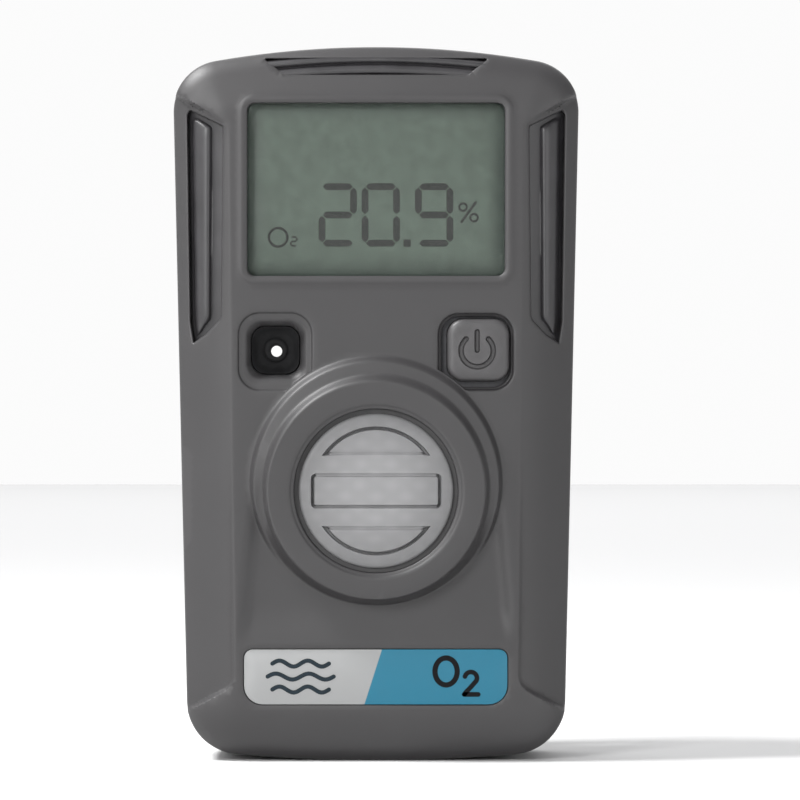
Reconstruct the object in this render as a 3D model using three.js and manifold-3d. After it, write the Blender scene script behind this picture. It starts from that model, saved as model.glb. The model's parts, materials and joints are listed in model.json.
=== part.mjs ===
// Portable single-gas detector with a rear clip. Millimetres, +Z up, the face looks along -Y.
// The origin is the middle of the footprint, on the surface that the case stands on.
import * as THREE from 'three';
import { mergeVertices } from 'three/addons/utils/BufferGeometryUtils.js';
import Module from 'manifold-3d';

const wasm = await Module();
wasm.setup();

// ---- driving dimensions -------------------------------------------------------------------

const HEIGHT = 91.3;
const FACE_Y = -14.5;
const BOSS_Y = -17.0;
const SEAM_Y = -2.0;
const BACK_Y = 9.0;
const CLIP_Y = 17.0;
const TOP_ARC = 120;
const BOTTOM_ARC = 211;
const WIDE_Z = 82.3;
const NARROW_Z = 7.5;

const SENSOR_Z = 34.5;
const SENSOR_R = 10.1;
const SENSOR_LENGTH = 16.5;
const WELL_R = 10.5;
const FILTER_R = 9.8;

const KEY_X = 13.0;
const KEY_Z = 52.4;
const KEY_SIZE = 7.8;
const PORT_X = -12.8;

const BOARD_Y = -9.0;
const BOARD_T = 1.0;
const SENSOR_BOARD_Y = 3.6;

const CELL_R = 7.25;
const CELL_LENGTH = 33.5;
const CELL_Y = -0.35;
const CELL_Z = 68.25;

const MOTOR_Y = 0.0;
const MOTOR_Z = 14.5;

const PIN_Y = 12.85;
const PIN_Z = 68.0;
const PIN_R = 1.25;

const SCREW_SPOTS = [[-20.2, 82.0], [20.2, 82.0], [-18.9, 9.6], [18.9, 9.6]];

// ---- colours and finishes -----------------------------------------------------------------

const FINISH = {
  case: [0x5a595b, 0.55, 0],
  caseRear: [0x4e4d4f, 0.6, 0],
  smoked: [0x2b2b2d, 0.15, 0],
  clear: [0x8f9c90, 0.1, 0],
  display: [0x6c796f, 0.25, 0],
  foil: [0xb9bdb8, 0.35, 0],
  rubber: [0x1d1d1f, 0.85, 0],
  silicone: [0x3a3a3c, 0.8, 0],
  filter: [0xb2b2b2, 0.7, 0],
  membrane: [0xdcdcda, 0.9, 0],
  board: [0x1f5a38, 0.5, 0],
  chip: [0x202022, 0.45, 0],
  lamp: [0xe9e4d6, 0.3, 0],
  steel: [0xb6b8ba, 0.3, 1],
  nickel: [0xc9c5ba, 0.3, 1],
  gold: [0xcaa24e, 0.3, 1],
  sensor: [0xd6d4cc, 0.5, 0],
  cell: [0x2f5d8c, 0.35, 0],
  foam: [0x303032, 0.95, 0],
  label: [0x2d8aaa, 0.45, 0],
  labelRear: [0xc8c8c8, 0.5, 0],
  blackSteel: [0x3c3d40, 0.35, 1],
};

// ---- small shape tools --------------------------------------------------------------------

function solid(geometry) {
  const bare = new THREE.BufferGeometry();
  bare.setAttribute('position', geometry.getAttribute('position').clone());
  if (geometry.index) bare.setIndex(geometry.index.clone());
  const merged = mergeVertices(bare, 1e-5);
  const mesh = new wasm.Mesh({
    numProp: 3,
    vertProperties: new Float32Array(merged.getAttribute('position').array),
    triVerts: new Uint32Array(merged.index.array),
  });
  return new wasm.Manifold(mesh);
}

function join(first, ...rest) {
  return rest.reduce((sum, piece) => sum.add(piece), first);
}

function cut(body, ...tools) {
  return tools.reduce((left, tool) => left.subtract(tool), body);
}

function geometryOf(body) {
  const mesh = body.getMesh();
  const geometry = new THREE.BufferGeometry();
  geometry.setAttribute('position', new THREE.BufferAttribute(new Float32Array(mesh.vertProperties), 3));
  geometry.setIndex(new THREE.BufferAttribute(new Uint32Array(mesh.triVerts), 1));
  const loose = geometry.toNonIndexed();
  loose.computeVertexNormals();
  return loose;
}

function polygon(points) {
  return new THREE.Shape(points.map(([x, z]) => new THREE.Vector2(x, z)));
}

function roundRect(x, z, width, height, r) {
  const shape = new THREE.Shape();
  const [x0, x1, z0, z1] = [x - width / 2, x + width / 2, z - height / 2, z + height / 2];
  shape.moveTo(x0 + r, z0);
  shape.lineTo(x1 - r, z0);
  shape.absarc(x1 - r, z0 + r, r, -Math.PI / 2, 0);
  shape.lineTo(x1, z1 - r);
  shape.absarc(x1 - r, z1 - r, r, 0, Math.PI / 2);
  shape.lineTo(x0 + r, z1);
  shape.absarc(x0 + r, z1 - r, r, Math.PI / 2, Math.PI);
  shape.lineTo(x0, z0 + r);
  shape.absarc(x0 + r, z0 + r, r, Math.PI, Math.PI * 1.5);
  return shape;
}

// A flat outline in X and Z, given depth from y0 to y1.
function slab(shape, y0, y1, curveSegments = 5) {
  const geometry = new THREE.ExtrudeGeometry(shape, { depth: y1 - y0, bevelEnabled: false, curveSegments });
  return solid(geometry.rotateX(Math.PI / 2).translate(0, y1, 0));
}

// A side profile in Y and Z, given width from x0 to x1.
function plank(points, x0, x1) {
  const shape = new THREE.Shape(points.map(([y, z]) => new THREE.Vector2(y, z)));
  const geometry = new THREE.ExtrudeGeometry(shape, { depth: x1 - x0, bevelEnabled: false });
  return solid(geometry.rotateY(Math.PI / 2).rotateX(Math.PI / 2).translate(x0, 0, 0));
}

function box(x0, x1, y0, y1, z0, z1) {
  const geometry = new THREE.BoxGeometry(x1 - x0, y1 - y0, z1 - z0);
  return solid(geometry.translate((x0 + x1) / 2, (y0 + y1) / 2, (z0 + z1) / 2));
}

// A round piece whose axis runs along Y.
function disc(r, y0, y1, x, z, segments = 40, rBack = r) {
  const geometry = new THREE.CylinderGeometry(rBack, r, y1 - y0, segments);
  return solid(geometry.translate(x, (y0 + y1) / 2, z));
}

// A round piece whose axis runs along X.
function rod(r, x0, x1, y, z, segments = 28) {
  const geometry = new THREE.CylinderGeometry(r, r, x1 - x0, segments).rotateZ(Math.PI / 2);
  return solid(geometry.translate((x0 + x1) / 2, y, z));
}

// Rings of equal point count, joined in order and closed by a flat cap at each end.
function loft(rings) {
  const count = rings[0].points.length;
  const position = [];
  const index = [];
  for (const ring of rings) {
    for (const [x, z] of ring.points) position.push(x, ring.y, z);
  }
  for (let k = 0; k < rings.length - 1; k += 1) {
    for (let i = 0; i < count; i += 1) {
      const a = k * count + i;
      const b = k * count + ((i + 1) % count);
      index.push(a, a + count, b, b, a + count, b + count);
    }
  }
  for (const [k, flip] of [[0, false], [rings.length - 1, true]]) {
    const flat = rings[k].points.map(([x, z]) => new THREE.Vector2(x, z));
    for (const [a, b, c] of THREE.ShapeUtils.triangulateShape(flat, [])) {
      const at = k * count;
      index.push(...(flip ? [at + a, at + c, at + b] : [at + a, at + b, at + c]));
    }
  }
  const geometry = new THREE.BufferGeometry();
  geometry.setAttribute('position', new THREE.Float32BufferAttribute(position, 3));
  geometry.setIndex(index);
  return solid(geometry);
}

// ---- the case outline ---------------------------------------------------------------------

// Centre of the corner arc that touches a side line and the top or bottom arc from inside.
function cornerCentre(normal, reach, r, arcZ, arcR, upper) {
  const along = [-normal[1], normal[0]];
  const base = [normal[0] * (reach - r), normal[1] * (reach - r) - arcZ];
  const half = base[0] * along[0] + base[1] * along[1];
  const rest = base[0] ** 2 + base[1] ** 2 - (arcR - r) ** 2;
  const t = -half + (upper ? 1 : -1) * Math.sqrt(half * half - rest);
  return [base[0] + along[0] * t, base[1] + along[1] * t + arcZ];
}

function arc(centre, r, from, to, steps) {
  const points = [];
  for (let i = 0; i <= steps; i += 1) {
    const turn = from + ((to - from) * i) / steps;
    points.push([centre[0] + r * Math.cos(turn), centre[1] + r * Math.sin(turn)]);
  }
  return points;
}

// One closed outline of the tapered case: half widths near the top and the bottom, the height of
// the crown and of the base, and the two corner radii.
function outline([y, halfTop, halfBottom, crown, base, rTop, rBottom]) {
  const lean = Math.atan2(halfTop - halfBottom, WIDE_Z - NARROW_Z);
  const normal = [Math.cos(lean), -Math.sin(lean)];
  const reach = halfTop * normal[0] + WIDE_Z * normal[1];
  const topZ = HEIGHT - TOP_ARC;
  const topR = crown - topZ;
  const bottomR = BOTTOM_ARC - base;
  const low = cornerCentre(normal, reach, rBottom, BOTTOM_ARC, bottomR, false);
  const high = cornerCentre(normal, reach, rTop, topZ, topR, true);
  const lowTurn = Math.atan2(low[1] - BOTTOM_ARC, low[0]);
  const highTurn = Math.atan2(high[1] - topZ, high[0]);
  const right = [
    ...arc([0, BOTTOM_ARC], bottomR, -Math.PI / 2, lowTurn, 3).slice(0, -1),
    ...arc(low, rBottom, lowTurn, -lean, 5),
    ...arc(high, rTop, -lean, highTurn, 5),
    ...arc([0, topZ], topR, highTurn, Math.PI / 2, 3).slice(1),
  ];
  const left = right.slice(1, -1).reverse().map(([x, z]) => [-x, z]);
  return { y, points: [...right, ...left] };
}

const FRONT_RINGS = [
  [FACE_Y, 18.5, 18.2, 85.6, 6.5, 1.8, 1.8],
  [-14.05, 19.5, 18.9, 86.6, 5.7, 2.4, 2.2],
  [-11.8, 24.4, 22.7, 89.3, 1.9, 4.8, 5.4],
  [-10.6, 25.4, 23.7, 90.5, 0.8, 5.8, 6.4],
  [-8.5, 25.9, 24.2, 91.05, 0.0, 6.5, 7.0],
  [SEAM_Y, 26.1, 24.4, HEIGHT, -0.2, 6.7, 7.2],
];

const REAR_RINGS = [
  [SEAM_Y + 0.05, 26.1, 24.4, HEIGHT, -0.2, 6.7, 7.2],
  [4.0, 25.7, 24.0, 90.9, 0.0, 6.5, 7.0],
  [7.2, 24.7, 23.0, 89.8, 1.3, 5.8, 6.2],
  [8.6, 22.9, 21.2, 88.0, 3.1, 4.6, 4.8],
  [BACK_Y, 21.5, 19.8, 86.6, 4.5, 3.8, 3.8],
];

const FRONT_CAVITY = [
  [-12.5, 17.9, 17.2, 84.2, 7.3, 1.4, 1.4],
  [-11.0, 21.7, 20.2, 87.0, 4.2, 2.6, 3.0],
  [-8.5, 23.4, 21.7, 88.6, 2.5, 4.2, 4.6],
  [SEAM_Y + 1, 23.7, 22.0, 88.9, 2.3, 4.4, 4.8],
];

const REAR_CAVITY = [
  [SEAM_Y - 1, 23.7, 22.0, 88.9, 2.3, 4.4, 4.8],
  [4.0, 23.3, 21.6, 88.5, 2.6, 4.1, 4.5],
  [6.3, 22.3, 20.6, 87.4, 3.7, 3.3, 3.6],
  [7.0, 21.1, 19.4, 86.2, 4.9, 2.8, 2.8],
];

const lofted = (rows) => loft(rows.map(outline));

// The case stands on a narrow flat land; all else below it is trimmed off.
const FLOOR_TOOL = box(-40, 40, -30, 30, -10, 0);

// ---- openings in the front shell ----------------------------------------------------------

const SIDE_WINDOW = [[24.2, 82.9], [19.9, 81.0], [20.1, 56.6], [21.9, 54.4], [23.4, 53.2], [24.0, 56.0]];
const TOP_WINDOW = [[-15.0, 90.2], [-11.6, 87.4], [11.6, 87.4], [15.0, 90.2]];

// Move every corner of an outline in or out along the mean normal of its two edges.
function offset(points, distance) {
  const area = points.reduce((sum, [x, z], i) => {
    const [u, w] = points[(i + 1) % points.length];
    return sum + x * w - u * z;
  }, 0);
  const side = Math.sign(area);
  return points.map(([x, z], i) => {
    const [px, pz] = points[(i + points.length - 1) % points.length];
    const [nx, nz] = points[(i + 1) % points.length];
    const before = new THREE.Vector2(z - pz, px - x).normalize().multiplyScalar(side);
    const after = new THREE.Vector2(nz - z, x - nx).normalize().multiplyScalar(side);
    const mean = before.clone().add(after).normalize();
    const stretch = distance / Math.max(0.5, mean.dot(before));
    return [x + mean.x * stretch, z + mean.y * stretch];
  });
}

const mirrored = (points) => points.map(([x, z]) => [-x, z]).reverse();

function frontSkin(back = 0) {
  return lofted(FRONT_RINGS.map(([y, ...rest]) => [y + back, ...rest]));
}

function lightBar(window, backY) {
  const blank = slab(polygon(offset(window, -0.25)), -20, backY);
  return frontSkin(0.45).intersect(blank);
}

function windowSlot(window, backY) {
  return slab(polygon(window), -20, backY);
}

// ---- case ---------------------------------------------------------------------------------

function sensorBoss() {
  const skirt = disc(14.2, BOSS_Y, FACE_Y + 1.5, 0, SENSOR_Z, 56, 16.2);
  const sleeve = disc(WELL_R + 1.6, FACE_Y, -4.5, 0, SENSOR_Z, 48);
  return join(skirt, sleeve);
}

function screwBoss([x, z]) {
  const tower = disc(2.6, -7.6, SEAM_Y, x, z, 20);
  const web = box(Math.min(x, x + Math.sign(x) * 4), Math.max(x, x + Math.sign(x) * 4), -7.6, SEAM_Y, z - 1, z + 1);
  return join(tower, web);
}

function frontHousing() {
  let shell = frontSkin();
  shell = cut(shell, lofted(FRONT_CAVITY), FLOOR_TOOL);
  const skin = frontSkin();
  const bosses = SCREW_SPOTS.map((spot) => screwBoss(spot).intersect(skin));
  const portBlock = slab(roundRect(PORT_X, KEY_Z, 11.4, 11.4, 2.4), -13.4, -11.9);
  const keyBlock = slab(roundRect(KEY_X, KEY_Z, 12.2, 12.2, 3), -13.4, -11.2);
  shell = cut(shell, slab(roundRect(0, 24, 31.6, 20.6, 1.5), -20, FACE_Y + 0.35));
  shell = join(shell, sensorBoss(), portBlock, keyBlock, ...bosses);
  const holes = SCREW_SPOTS.map(([x, z]) => disc(1.0, -6.8, 0, x, z, 16));
  return cut(
    shell,
    disc(WELL_R, -20, 0, 0, SENSOR_Z, 48),
    slab(roundRect(0, 72.85, 32.9, 22.1, 1.5), -20, 0),
    slab(roundRect(0, 72.75, 35.8, 24.9, 1.5), -12.95, BOARD_Y - 0.05),
    windowSlot(SIDE_WINDOW, -9.2),
    windowSlot(mirrored(SIDE_WINDOW), -9.2),
    windowSlot(TOP_WINDOW, -9.2),
    slab(roundRect(PORT_X, 52.2, 9.4, 10, 2.6), -20, FACE_Y + 0.5),
    slab(roundRect(PORT_X, KEY_Z, 7.5, 7.5, 2), -20, FACE_Y + 1.5),
    disc(1.75, -20, 0, PORT_X, KEY_Z, 24),
    slab(roundRect(KEY_X, KEY_Z, 9.6, 9.9, 2.8), -20, FACE_Y + 0.4),
    slab(roundRect(KEY_X, KEY_Z, 8.5, 8.5, 2.3), -20, 0),
    slab(roundRect(KEY_X, KEY_Z, 10, 10, 2.6), -13.15, -11.2),
    slab(labelOutline(0.15), -20, FACE_Y + 0.45),
    ...holes,
  );
}

function rearPost([x, z]) {
  return disc(3.0, SEAM_Y + 0.05, 8, x, z, 24);
}

function rearHousing() {
  const skin = lofted(REAR_RINGS);
  const posts = SCREW_SPOTS.map((spot) => rearPost(spot).intersect(skin));
  const clipBoss = disc(3.2, 4.95, 8, 0, 50, 28);
  const shell = join(cut(skin, lofted(REAR_CAVITY), FLOOR_TOOL), ...posts, clipBoss);
  const groove = gasketRing(0.12, SEAM_Y - 1, -1.1);
  const bores = SCREW_SPOTS.flatMap(([x, z]) => [
    disc(1.15, -5, 12, x, z, 16),
    disc(2.2, 4.95, 12, x, z, 20),
  ]);
  return cut(
    shell,
    groove,
    ...bores,
    disc(0.95, 5.3, 12, 0, 50, 16),
    slab(roundRect(0, 17, 28.4, 14.4, 1.7), BACK_Y - 0.4, 12),
  );
}

function gasketRing(gap, y0, y1) {
  const outer = [25.3, 23.6, 90.5, 0.75, 5.9, 6.4];
  const inner = [24.5, 22.8, 89.7, 1.55, 5.1, 5.6];
  const grow = ([halfTop, halfBottom, crown, base, rTop, rBottom], d) => [
    halfTop + d, halfBottom + d, crown + d, base - d, rTop + d, rBottom + d,
  ];
  const bodyOuter = lofted([[y0, ...grow(outer, gap)], [y1, ...grow(outer, gap)]]);
  const bodyInner = lofted([[y0 - 1, ...grow(inner, -gap)], [y1 + 1, ...grow(inner, -gap)]]);
  return cut(bodyOuter, bodyInner);
}

function housingScrew([x, z]) {
  const head = disc(1.95, 5.0, 6.4, x, z, 20);
  const shank = disc(0.9, -6.2, 5.5, x, z, 14);
  const socket = disc(0.9, 5.7, 8, x, z, 6);
  return cut(join(head, shank), socket);
}

// ---- display ------------------------------------------------------------------------------

function displayWindow() {
  const pane = slab(roundRect(0, 72.85, 32.6, 21.8, 1.35), -14.2, -12.4);
  const flange = slab(roundRect(0, 72.75, 35.4, 24.5, 1.3), -12.9, -12.1);
  return join(pane, flange);
}

function displayGlass() {
  const front = slab(roundRect(0, 72.9, 33.6, 22.6, 0.4), -12.0, -11.1, 2);
  const rear = slab(roundRect(0, 72.9, 33.6, 24.2, 0.4), -11.15, -10.25, 2);
  return join(front, rear);
}

const reflector = () => slab(roundRect(0, 72.9, 33, 19.6, 0.5), -10.2, -9.6, 2);

const contactStrip = (z) => box(-15, 15, -10.2, -9.02, z - 0.75, z + 0.75);

// ---- sounder, key, lamps ------------------------------------------------------------------

function sounder() {
  const can = slab(roundRect(PORT_X, KEY_Z, 9, 9, 0.6), -11.4, -9.05, 2);
  return cut(can, disc(1.2, -12, -10.6, PORT_X, KEY_Z, 20));
}

function portGrommet() {
  const ring = disc(1.68, -12.9, -11.6, PORT_X, KEY_Z, 24);
  return cut(ring, disc(0.72, -14, -10, PORT_X, KEY_Z, 20));
}

function portMembrane() {
  return disc(0.66, -12.7, -12.4, PORT_X, KEY_Z, 20);
}

function powerButton() {
  const cap = slab(roundRect(KEY_X, KEY_Z, KEY_SIZE, KEY_SIZE, 1.9), -14.9, -12.4);
  const crown = slab(roundRect(KEY_X, KEY_Z, KEY_SIZE - 0.7, KEY_SIZE - 0.7, 1.6), -15.1, -14.5);
  const flange = slab(roundRect(KEY_X, KEY_Z, 9.4, 9.4, 2.2), -12.7, -12.1);
  const ring = cut(disc(2.45, -15.5, -14.9, KEY_X, KEY_Z, 32), disc(1.8, -16, -14, KEY_X, KEY_Z, 28));
  const open = box(KEY_X - 0.95, KEY_X + 0.95, -16, -14, KEY_Z + 0.6, KEY_Z + 3);
  const bar = box(KEY_X - 0.32, KEY_X + 0.32, -15.5, -14.9, KEY_Z, KEY_Z + 2.7);
  return cut(join(cap, crown, flange), cut(ring, open), bar);
}

function buttonSeal() {
  const frame = slab(roundRect(KEY_X, KEY_Z, 9.6, 9.6, 2.3), -13.1, -12.8);
  return cut(frame, slab(roundRect(KEY_X, KEY_Z, 8.1, 8.1, 2), -14, -12));
}

function switchBody() {
  const body = slab(roundRect(KEY_X, KEY_Z, 6, 6, 0.4), -10.7, -9.05, 2);
  return cut(body, disc(1.6, -12, -10.1, KEY_X, KEY_Z, 24));
}

const switchPlunger = () => disc(1.5, -12.05, -10.65, KEY_X, KEY_Z, 24);

const lamp = (x, z) => box(x - 0.8, x + 0.8, -9.7, -9.02, z - 0.5, z + 0.5);

// ---- boards and power ---------------------------------------------------------------------

function displayBoard() {
  const edge = [
    [-18, 46.9], [18, 46.9], [20.3, 49], [20.4, 83.4], [17.4, 86.2], [-17.4, 86.2], [-20.4, 83.4], [-20.3, 49],
  ];
  return slab(polygon(edge), BOARD_Y, BOARD_Y + BOARD_T);
}

function sensorBoard() {
  const edge = [[-14.8, 7], [14.8, 7], [15.8, 8], [15.8, 55], [14.6, 56.2], [-14.6, 56.2], [-15.8, 55], [-15.8, 8]];
  return slab(polygon(edge), SENSOR_BOARD_Y, SENSOR_BOARD_Y + BOARD_T);
}

const boardHeader = () => box(-11, 3, -7.95, -2.4, 49.8, 53.4);

const boardSocket = () => box(-11, 3, -2.3, 3.55, 49.3, 53.9);

const controller = () => slab(roundRect(10.5, 52.5, 7, 7, 0.3), -7.95, -7.05, 2);

function cell() {
  const can = rod(CELL_R, -CELL_LENGTH / 2, CELL_LENGTH / 2, CELL_Y, CELL_Z, 40);
  const nub = rod(2.6, CELL_LENGTH / 2 - 0.1, CELL_LENGTH / 2 + 0.5, CELL_Y, CELL_Z, 24);
  return join(can, nub);
}

function cellTab(x, side) {
  const inner = x;
  const outer = x + side * 0.3;
  const [x0, x1] = [Math.min(inner, outer), Math.max(inner, outer)];
  const upright = box(x0, x1, -2.4, 1.6, 58, 70.5);
  const foot = box(x0, x1, -7.95, -2.2, 58, 60.4);
  return join(upright, foot);
}

const cellPad = () => box(-14, 14, 6.92, 7.0, 64, 72.5);

// ---- sensor -------------------------------------------------------------------------------

function filterWindow(sign) {
  const half = Math.acos(4.4 / 8.2);
  const middle = sign > 0 ? Math.PI / 2 : -Math.PI / 2;
  return polygon(arc([0, SENSOR_Z], 8.2, middle - half, middle + half, 12));
}

function filterFrame() {
  const plate = disc(FILTER_R, -16.6, -15.6, 0, SENSOR_Z, 48);
  return cut(
    plate,
    slab(filterWindow(1), -18, -15),
    slab(filterWindow(-1), -18, -15),
    slab(roundRect(0, SENSOR_Z, 16.6, 4.4, 0.8), -18, -15),
  );
}

const filterMembrane = () => disc(FILTER_R - 0.2, -15.55, -15.25, 0, SENSOR_Z, 40);

function sensorGasket() {
  return cut(disc(10.2, -15.2, -14.55, 0, SENSOR_Z, 40), disc(8.2, -16, -14, 0, SENSOR_Z, 36));
}

const SENSOR_PINS = [[0, 6.5], [-5.6, -3.2], [5.6, -3.2]];

function gasSensor() {
  const y0 = -14.5;
  const can = disc(SENSOR_R, y0, y0 + SENSOR_LENGTH, 0, SENSOR_Z, 44);
  const inlet = disc(4.2, y0 - 1, y0 + 0.5, 0, SENSOR_Z, 28);
  const pins = SENSOR_PINS.map(([x, z]) => disc(0.75, y0 + SENSOR_LENGTH - 0.5, 3.5, x, SENSOR_Z + z, 12));
  return join(cut(can, inlet), ...pins);
}

function pinSocket([x, z]) {
  const sleeve = disc(1.5, 2.25, 3.58, x, SENSOR_Z + z, 18);
  return cut(sleeve, disc(0.85, 0, 5, x, SENSOR_Z + z, 12));
}

// ---- vibration motor ----------------------------------------------------------------------

function motor() {
  const can = rod(3.0, -11, 1, MOTOR_Y, MOTOR_Z);
  return cut(can, rod(0.55, 0, 3, MOTOR_Y, MOTOR_Z, 12));
}

function motorWeight() {
  const shaft = rod(0.45, 0.1, 6.4, MOTOR_Y, MOTOR_Z, 12);
  const sector = rod(2.8, 1.6, 6.2, MOTOR_Y, MOTOR_Z).intersect(box(0, 8, MOTOR_Y - 4, MOTOR_Y + 4, MOTOR_Z - 4, MOTOR_Z + 0.7));
  return join(shaft, sector);
}

function motorSaddle() {
  const block = box(-9.5, -0.5, -1.2, 3.55, MOTOR_Z - 4.2, MOTOR_Z + 4.2);
  return cut(block, rod(3.08, -12, 2, MOTOR_Y, MOTOR_Z));
}

// ---- labels -------------------------------------------------------------------------------

function labelOutline(grow = 0) {
  const shape = new THREE.Shape();
  const [x0, x1, z0, z1] = [-16.8 - grow, 16.7 + grow, 7.3 - grow, 14.3 + grow];
  const [low, high] = [2.4 + grow, 1.1 + grow];
  shape.moveTo(x0 + low, z0);
  shape.lineTo(x1 - low, z0);
  shape.absarc(x1 - low, z0 + low, low, -Math.PI / 2, 0);
  shape.lineTo(x1, z1 - high);
  shape.absarc(x1 - high, z1 - high, high, 0, Math.PI / 2);
  shape.lineTo(x0 + high, z1);
  shape.absarc(x0 + high, z1 - high, high, Math.PI / 2, Math.PI);
  shape.lineTo(x0, z0 + low);
  shape.absarc(x0 + low, z0 + low, low, Math.PI, Math.PI * 1.5);
  return shape;
}

const frontLabel = () => slab(labelOutline(), FACE_Y + 0.05, FACE_Y + 0.42);

const rearLabel = () => slab(roundRect(0, 17, 28, 14, 1.5), BACK_Y - 0.35, BACK_Y - 0.05);

// ---- clip ---------------------------------------------------------------------------------

function clipBase() {
  const plate = slab(roundRect(0, 58.5, 19.2, 35, 2.5), BACK_Y + 0.05, BACK_Y + 1.05);
  const ear = [[9.3, 61.5], [9.3, 74.5], [PIN_Y, 71.4], [14.9, 70.4], [15.5, 68], [14.9, 65.6], [PIN_Y, 64.6]];
  const ears = [plank(ear, 8.2, 9.4), plank(ear, -9.4, -8.2)];
  return cut(
    join(plate, ...ears),
    rod(PIN_R + 0.08, -12, 12, PIN_Y, PIN_Z, 20),
    disc(1.2, 8, 12, 0, 50, 16),
  );
}

// The side profile of the jaw: a straight arm, a flared thumb lever and a hooked tip.
const JAW_PROFILE = [
  [15.6, 78.5], [14.8, 84.5], [16.2, 85.0], [CLIP_Y, 79.0], [CLIP_Y, 31.0], [16.4, 28.6], [14.8, 26.2],
  [11.2, 24.6], [9.35, 24.6], [9.35, 25.4], [10.3, 26.0], [9.35, 26.5], [9.35, 27.2], [10.3, 27.8],
  [12.0, 27.4], [13.9, 28.6], [15.0, 30.2], [15.6, 32.6],
];

function clipJaw() {
  const arm = plank(JAW_PROFILE, -7.4, 7.4);
  const lug = [[16.2, 75], [PIN_Y, 71], [10.9, 69.6], [10.35, 68], [10.9, 66.4], [PIN_Y, 65], [16.2, 58]];
  const lugs = [plank(lug, 6.2, 7.4), plank(lug, -7.4, -6.2)];
  return cut(
    join(arm, ...lugs),
    rod(PIN_R + 0.08, -12, 12, PIN_Y, PIN_Z, 20),
    slab(roundRect(0, 44, 7, 16, 3.5), 14.5, 20),
  );
}

function clipPin() {
  const shaft = rod(PIN_R, -9.7, 9.7, PIN_Y, PIN_Z, 20);
  const heads = [rod(1.9, 9.5, 10.2, PIN_Y, PIN_Z, 20), rod(1.9, -10.2, -9.5, PIN_Y, PIN_Z, 20)];
  return join(shaft, ...heads);
}

// Four turns round the pin, with one leg down the base plate and one up under the thumb lever.
class SpringPath extends THREE.Curve {
  getPoint(t) {
    const turns = 4.5;
    const start = new THREE.Vector3(-3.6, PIN_Y - 2.1, PIN_Z - 7.5);
    const end = new THREE.Vector3(3.6, PIN_Y + 2.1, PIN_Z + 7.5);
    if (t < 0.1) return start.lerp(new THREE.Vector3(-3.6, PIN_Y - 2.1, PIN_Z), t / 0.1);
    if (t > 0.9) return end.lerp(new THREE.Vector3(3.6, PIN_Y + 2.1, PIN_Z), (1 - t) / 0.1);
    const s = (t - 0.1) / 0.8;
    const turn = Math.PI + s * turns * Math.PI * 2;
    const x = -3.6 + 7.2 * s;
    return new THREE.Vector3(x, PIN_Y + 2.1 * Math.cos(turn), PIN_Z - 2.1 * Math.sin(turn));
  }
}

function clipSpring() {
  const section = new THREE.Shape();
  section.absarc(0, 0, 0.36, 0, Math.PI * 2);
  const geometry = new THREE.ExtrudeGeometry(section, {
    steps: 68,
    curveSegments: 4,
    bevelEnabled: false,
    extrudePath: new SpringPath(),
  });
  return solid(geometry);
}

function clipScrew() {
  const head = disc(2.1, 10.1, 11.2, 0, 50, 24);
  const shank = disc(0.9, 5.5, 10.3, 0, 50, 16);
  return cut(join(head, shank), disc(0.95, 10.6, 13, 0, 50, 6));
}

// ---- the assembly -------------------------------------------------------------------------

const part = new THREE.Group();
part.name = 'gas_detector';

function add(name, body, finish) {
  const [color, roughness, metalness] = FINISH[finish];
  const material = new THREE.MeshStandardMaterial({ color, roughness, metalness });
  const mesh = new THREE.Mesh(geometryOf(body), material);
  mesh.name = name;
  part.add(mesh);
}

add('front_housing', frontHousing(), 'case');
add('rear_housing', rearHousing(), 'caseRear');
add('housing_gasket', gasketRing(0, SEAM_Y + 0.02, -1.2), 'rubber');
SCREW_SPOTS.forEach((spot, i) => add(`housing_screw_${i + 1}`, housingScrew(spot), 'steel'));

add('display_window', displayWindow(), 'clear');
add('display_glass', displayGlass(), 'display');
add('display_reflector', reflector(), 'foil');
add('contact_strip_upper', contactStrip(83.9), 'silicone');
add('contact_strip_lower', contactStrip(61.9), 'silicone');

add('light_bar_right', lightBar(SIDE_WINDOW, -9.75), 'smoked');
add('light_bar_left', lightBar(mirrored(SIDE_WINDOW), -9.75), 'smoked');
add('light_bar_top', lightBar(TOP_WINDOW, -9.3), 'smoked');
add('alarm_lamp_right', lamp(19.4, 68), 'lamp');
add('alarm_lamp_left', lamp(-19.4, 68), 'lamp');
add('alarm_lamp_top', lamp(0, 85.6), 'lamp');

add('sounder', sounder(), 'chip');
add('sounder_grommet', portGrommet(), 'rubber');
add('sounder_membrane', portMembrane(), 'membrane');

add('power_button', powerButton(), 'case');
add('button_seal', buttonSeal(), 'silicone');
add('switch_body', switchBody(), 'chip');
add('switch_plunger', switchPlunger(), 'nickel');

add('display_board', displayBoard(), 'board');
add('sensor_board', sensorBoard(), 'board');
add('board_header', boardHeader(), 'chip');
add('board_socket', boardSocket(), 'chip');
add('microcontroller', controller(), 'chip');
add('battery_cell', cell(), 'cell');
add('battery_tab_positive', cellTab(CELL_LENGTH / 2 + 0.55, 1), 'nickel');
add('battery_tab_negative', cellTab(-CELL_LENGTH / 2 - 0.05, -1), 'nickel');
add('battery_pad', cellPad(), 'foam');

add('filter_frame', filterFrame(), 'filter');
add('filter_membrane', filterMembrane(), 'membrane');
add('sensor_gasket', sensorGasket(), 'rubber');
add('gas_sensor', gasSensor(), 'sensor');
SENSOR_PINS.forEach((spot, i) => add(`sensor_socket_${i + 1}`, pinSocket(spot), 'gold'));

add('vibration_motor', motor(), 'steel');
add('motor_weight', motorWeight(), 'nickel');
add('motor_saddle', motorSaddle(), 'rubber');

add('front_label', frontLabel(), 'label');
add('rear_label', rearLabel(), 'labelRear');

add('clip_base', clipBase(), 'blackSteel');
add('clip_jaw', clipJaw(), 'blackSteel');
add('clip_pin', clipPin(), 'steel');
add('clip_spring', clipSpring(), 'steel');
add('clip_screw', clipScrew(), 'steel');

export default part;
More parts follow.
